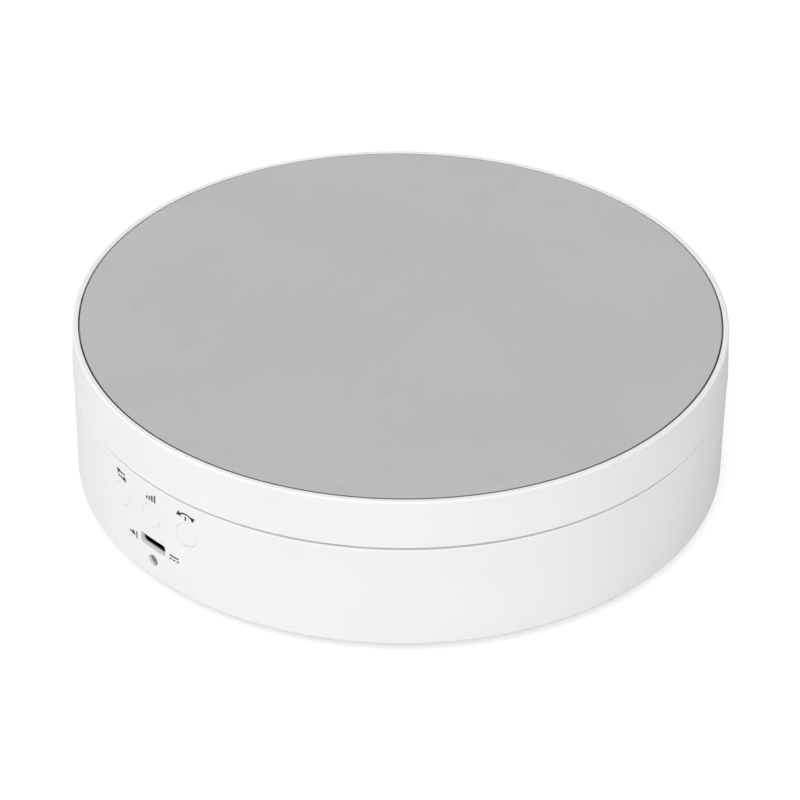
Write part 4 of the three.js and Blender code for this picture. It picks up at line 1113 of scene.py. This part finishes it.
acetal = natural_acetal()
for i, azimuth in enumerate(quarters, 1):
    roller, placed = f"roller_{i}", about(azimuth) @ lying_outward
    fitted(roller + "_wheel", moved(roller_wheel(), placed), acetal, roller, "acetal", roller)
    pin = moved(bar(pin_radius, -pin_half, pin_half, 48, 0.25 * MM), placed)
    fitted(roller + "_pin", pin, steel, "base", "screw_steel", f"roller_axle_{i}")

# ----------------------------------------------------------------------------------------------------------
# Pivot, ring gear and pinion.
# The bush, the ring gear and the pinion are moulded in the same acetal. A zinc-plated washer on the post keeps
# the tray down.


def zinc_plate():
    """Zinc plating over pressed sheet: grey spangle with faint yellow passivation."""
    finish = Finish("zinc_plating", Metallic=1.0)
    spangle = finish.noise(1.3 * MM, 3.0, 0.6)
    haze = finish.noise(7 * MM, 2.0)
    base = finish.blend(grey(0.42, (1, 1, 0.99)), grey(0.56, (0.99, 1, 1.01)), finish.step(spangle, 0.3, 0.7))
    finish.set("Base Color", finish.blend(base, (0.5, 0.47, 0.38, 1), finish.step(haze, 0.5, 0.8) * 0.4))
    finish.set("Roughness", 0.34 + spangle * 0.16)
    finish.bump(spangle, 0.006 * MM)
    return finish


zinc = zinc_plate()
dressed(acetal, "centre_bush", "ring_gear", "pinion")
dressed(zinc, "pivot_washer")

# ----------------------------------------------------------------------------------------------------------
# Geared motor.
# A drawn can with a rolled seam, closed by a steel plate with two ears. A blue plastic box on its side lets
# out five insulated leads, and the shaft stands off the middle.

can_low, can_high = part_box("motor_can")
can_radius = 14 * MM
dimple_radius, dimple = 5 * MM, 0.3 * MM
seam = 0.2 * MM


def drawn_can():
    """The can's section, turned: a dimple in its closed end and a rolled seam near the open one."""
    can = turned(rounded([
        (0, can_low.z + dimple),
        (dimple_radius, can_low.z + dimple, 0.2 * MM),
        (dimple_radius + 0.4 * MM, can_low.z, 0.2 * MM),
        (can_radius, can_low.z, MM),
        (can_radius, can_high.z - 2.2 * MM),
        (can_radius - seam, can_high.z - 2 * MM),
        (can_radius - seam, can_high.z - 1.6 * MM),
        (can_radius, can_high.z - 1.4 * MM),
        (can_radius, can_high.z),
        (0, can_high.z),
    ], 5, 0.08 * MM), 144, closed=False)
    return moved(can, shift(y=middle("motor_can").y))


def blue_moulding():
    """Blue plastic with a fine grain."""
    finish = Finish("blue_moulding")
    cloud = finish.noise(3 * MM, 3.0)
    grain = finish.noise(0.2 * MM, 2.0)
    finish.set("Base Color", finish.blend((0.025, 0.1, 0.34, 1), (0.04, 0.14, 0.42, 1), cloud))
    finish.set("Roughness", 0.38 + grain * 0.2)
    finish.bump(grain, 0.01 * MM)
    return finish


def lead_insulation():
    """Soft insulation in bands of colour from left to right. The ribbon is thinner than a band that way, so it
    takes the middle one, yellow."""
    finish = Finish("lead_insulation")
    place = finish.add("ShaderNodeSeparateXYZ", {}, {0: finish.place}, "X")
    pitch = 1.15 * MM
    colours = [(0.02, 0.08, 0.42, 1), (0.75, 0.25, 0.35, 1), (0.8, 0.6, 0.03, 1), (0.8, 0.2, 0.02, 1),
               (0.5, 0.015, 0.012, 1)]
    base = colours[0]
    for i, colour in enumerate(colours[1:], 1):
        edge = (i - 2.5) * pitch
        base = finish.blend(base, colour, finish.step(place, edge - 0.03 * MM, edge + 0.03 * MM))
    wear = finish.noise(0.5 * MM, 3.0)
    finish.set("Base Color", finish.blend(base, grey(0.1), finish.step(wear, 0.55, 0.9) * 0.35))
    finish.set("Roughness", 0.4 + wear * 0.2)
    finish.bump(wear, 0.01 * MM)
    return finish


fitted("motor_can_drawn", drawn_can(), zinc, "base", "zinc_plate", "motor_can")
dressed(zinc, "motor_plate")
dressed(blue_moulding(), "motor_terminal_box")
dressed(lead_insulation(), "motor_leads")
dressed(steel, "motor_shaft")

# ----------------------------------------------------------------------------------------------------------
# Circuit board and the parts on it.
# Green solder mask over copper tracks. It carries three push switches, two chips, a smoothing capacitor and
# the header for the motor's plug.


def solder_mask():
    """Green lacquer, lighter where copper tracks run under it."""
    finish = Finish("solder_mask", Coat_Weight=0.3, Coat_Roughness=0.15)
    upright = finish.add("ShaderNodeMapping", {}, {"Vector": finish.place, "Rotation": (math.pi / 2, 0, 0)})
    rows = {"Vector": upright, "Scale": 1.0, "Mortar Size": 0.22 * MM, "Mortar Smooth": 0.1,
            "Brick Width": 5.2 * MM, "Row Height": 1.9 * MM, "Color1": grey(0), "Color2": grey(0),
            "Mortar": grey(1)}
    tracks = finish.add("ShaderNodeTexBrick", {"offset": 0.37}, rows, "Fac")
    cloud = finish.noise(4 * MM, 3.0)
    weave = finish.noise(0.35 * MM, 2.0)
    base = finish.blend((0.012, 0.1, 0.04, 1), (0.018, 0.13, 0.05, 1), cloud)
    finish.set("Base Color", finish.blend(base, (0.05, 0.26, 0.1, 1), tracks * 0.8))
    finish.set("Roughness", 0.32 + weave * 0.16)
    finish.bump(tracks * 0.7 + weave * 0.3, 0.02 * MM)
    return finish


def drawn_aluminium():
    """Bright aluminium, drawn along the capacitor's length."""
    finish = Finish("drawn_aluminium", Metallic=1.0)
    drawn = finish.noise(0.25 * MM, 3.0, 0.6, (1, 0.1, 1))
    cloud = finish.noise(3 * MM, 2.0)
    finish.set("Base Color", finish.blend(grey(0.6), grey(0.72, (1, 1, 1.01)), drawn))
    finish.set("Roughness", 0.28 + drawn * 0.14 + cloud * 0.06)
    finish.bump(drawn, 0.004 * MM)
    return finish


def connector_nylon():
    """Natural nylon, a little yellow."""
    finish = Finish("connector_nylon")
    cloud = finish.noise(2.5 * MM, 3.0)
    grain = finish.noise(0.15 * MM, 2.0)
    finish.set("Base Color", finish.blend((0.72, 0.69, 0.58, 1), (0.79, 0.77, 0.69, 1), cloud))
    finish.set("Roughness", 0.42 + grain * 0.16)
    finish.bump(grain, 0.008 * MM)
    return finish


def capacitor_can():
    """A can that stands off the board, with a crimped groove near its foot."""
    low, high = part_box("smoothing_capacitor")
    place = middle("smoothing_capacitor")
    radius, length, groove = (high.x - low.x) / 2, high.y - low.y, 0.3 * MM
    can = turned(rounded([
        (0, 0),
        (radius, 0, 0.2 * MM),
        (radius, 1.1 * MM, 0.15 * MM),
        (radius - groove, 1.4 * MM, 0.1 * MM),
        (radius - groove, 1.7 * MM, 0.1 * MM),
        (radius, 2.0 * MM, 0.15 * MM),
        (radius, length, 0.35 * MM),
        (0, length),
    ], 4, 0.04 * MM), 96, closed=False)
    standing = Matrix.Rotation(-math.pi / 2, 4, "X")
    return moved(can, shift(place.x, low.y, place.z) @ standing)


dressed(solder_mask(), "main_board")
for job in ("direction", "speed", "angle"):
    dressed(black_plastic, job + "_switch", job + "_plunger")
dressed(black_plastic, "control_chip", "driver_chip")
dressed(connector_nylon(), "motor_header", "motor_plug")
fitted("capacitor_can", capacitor_can(), drawn_aluminium(), "base", "capacitor_can", "smoothing_capacitor")
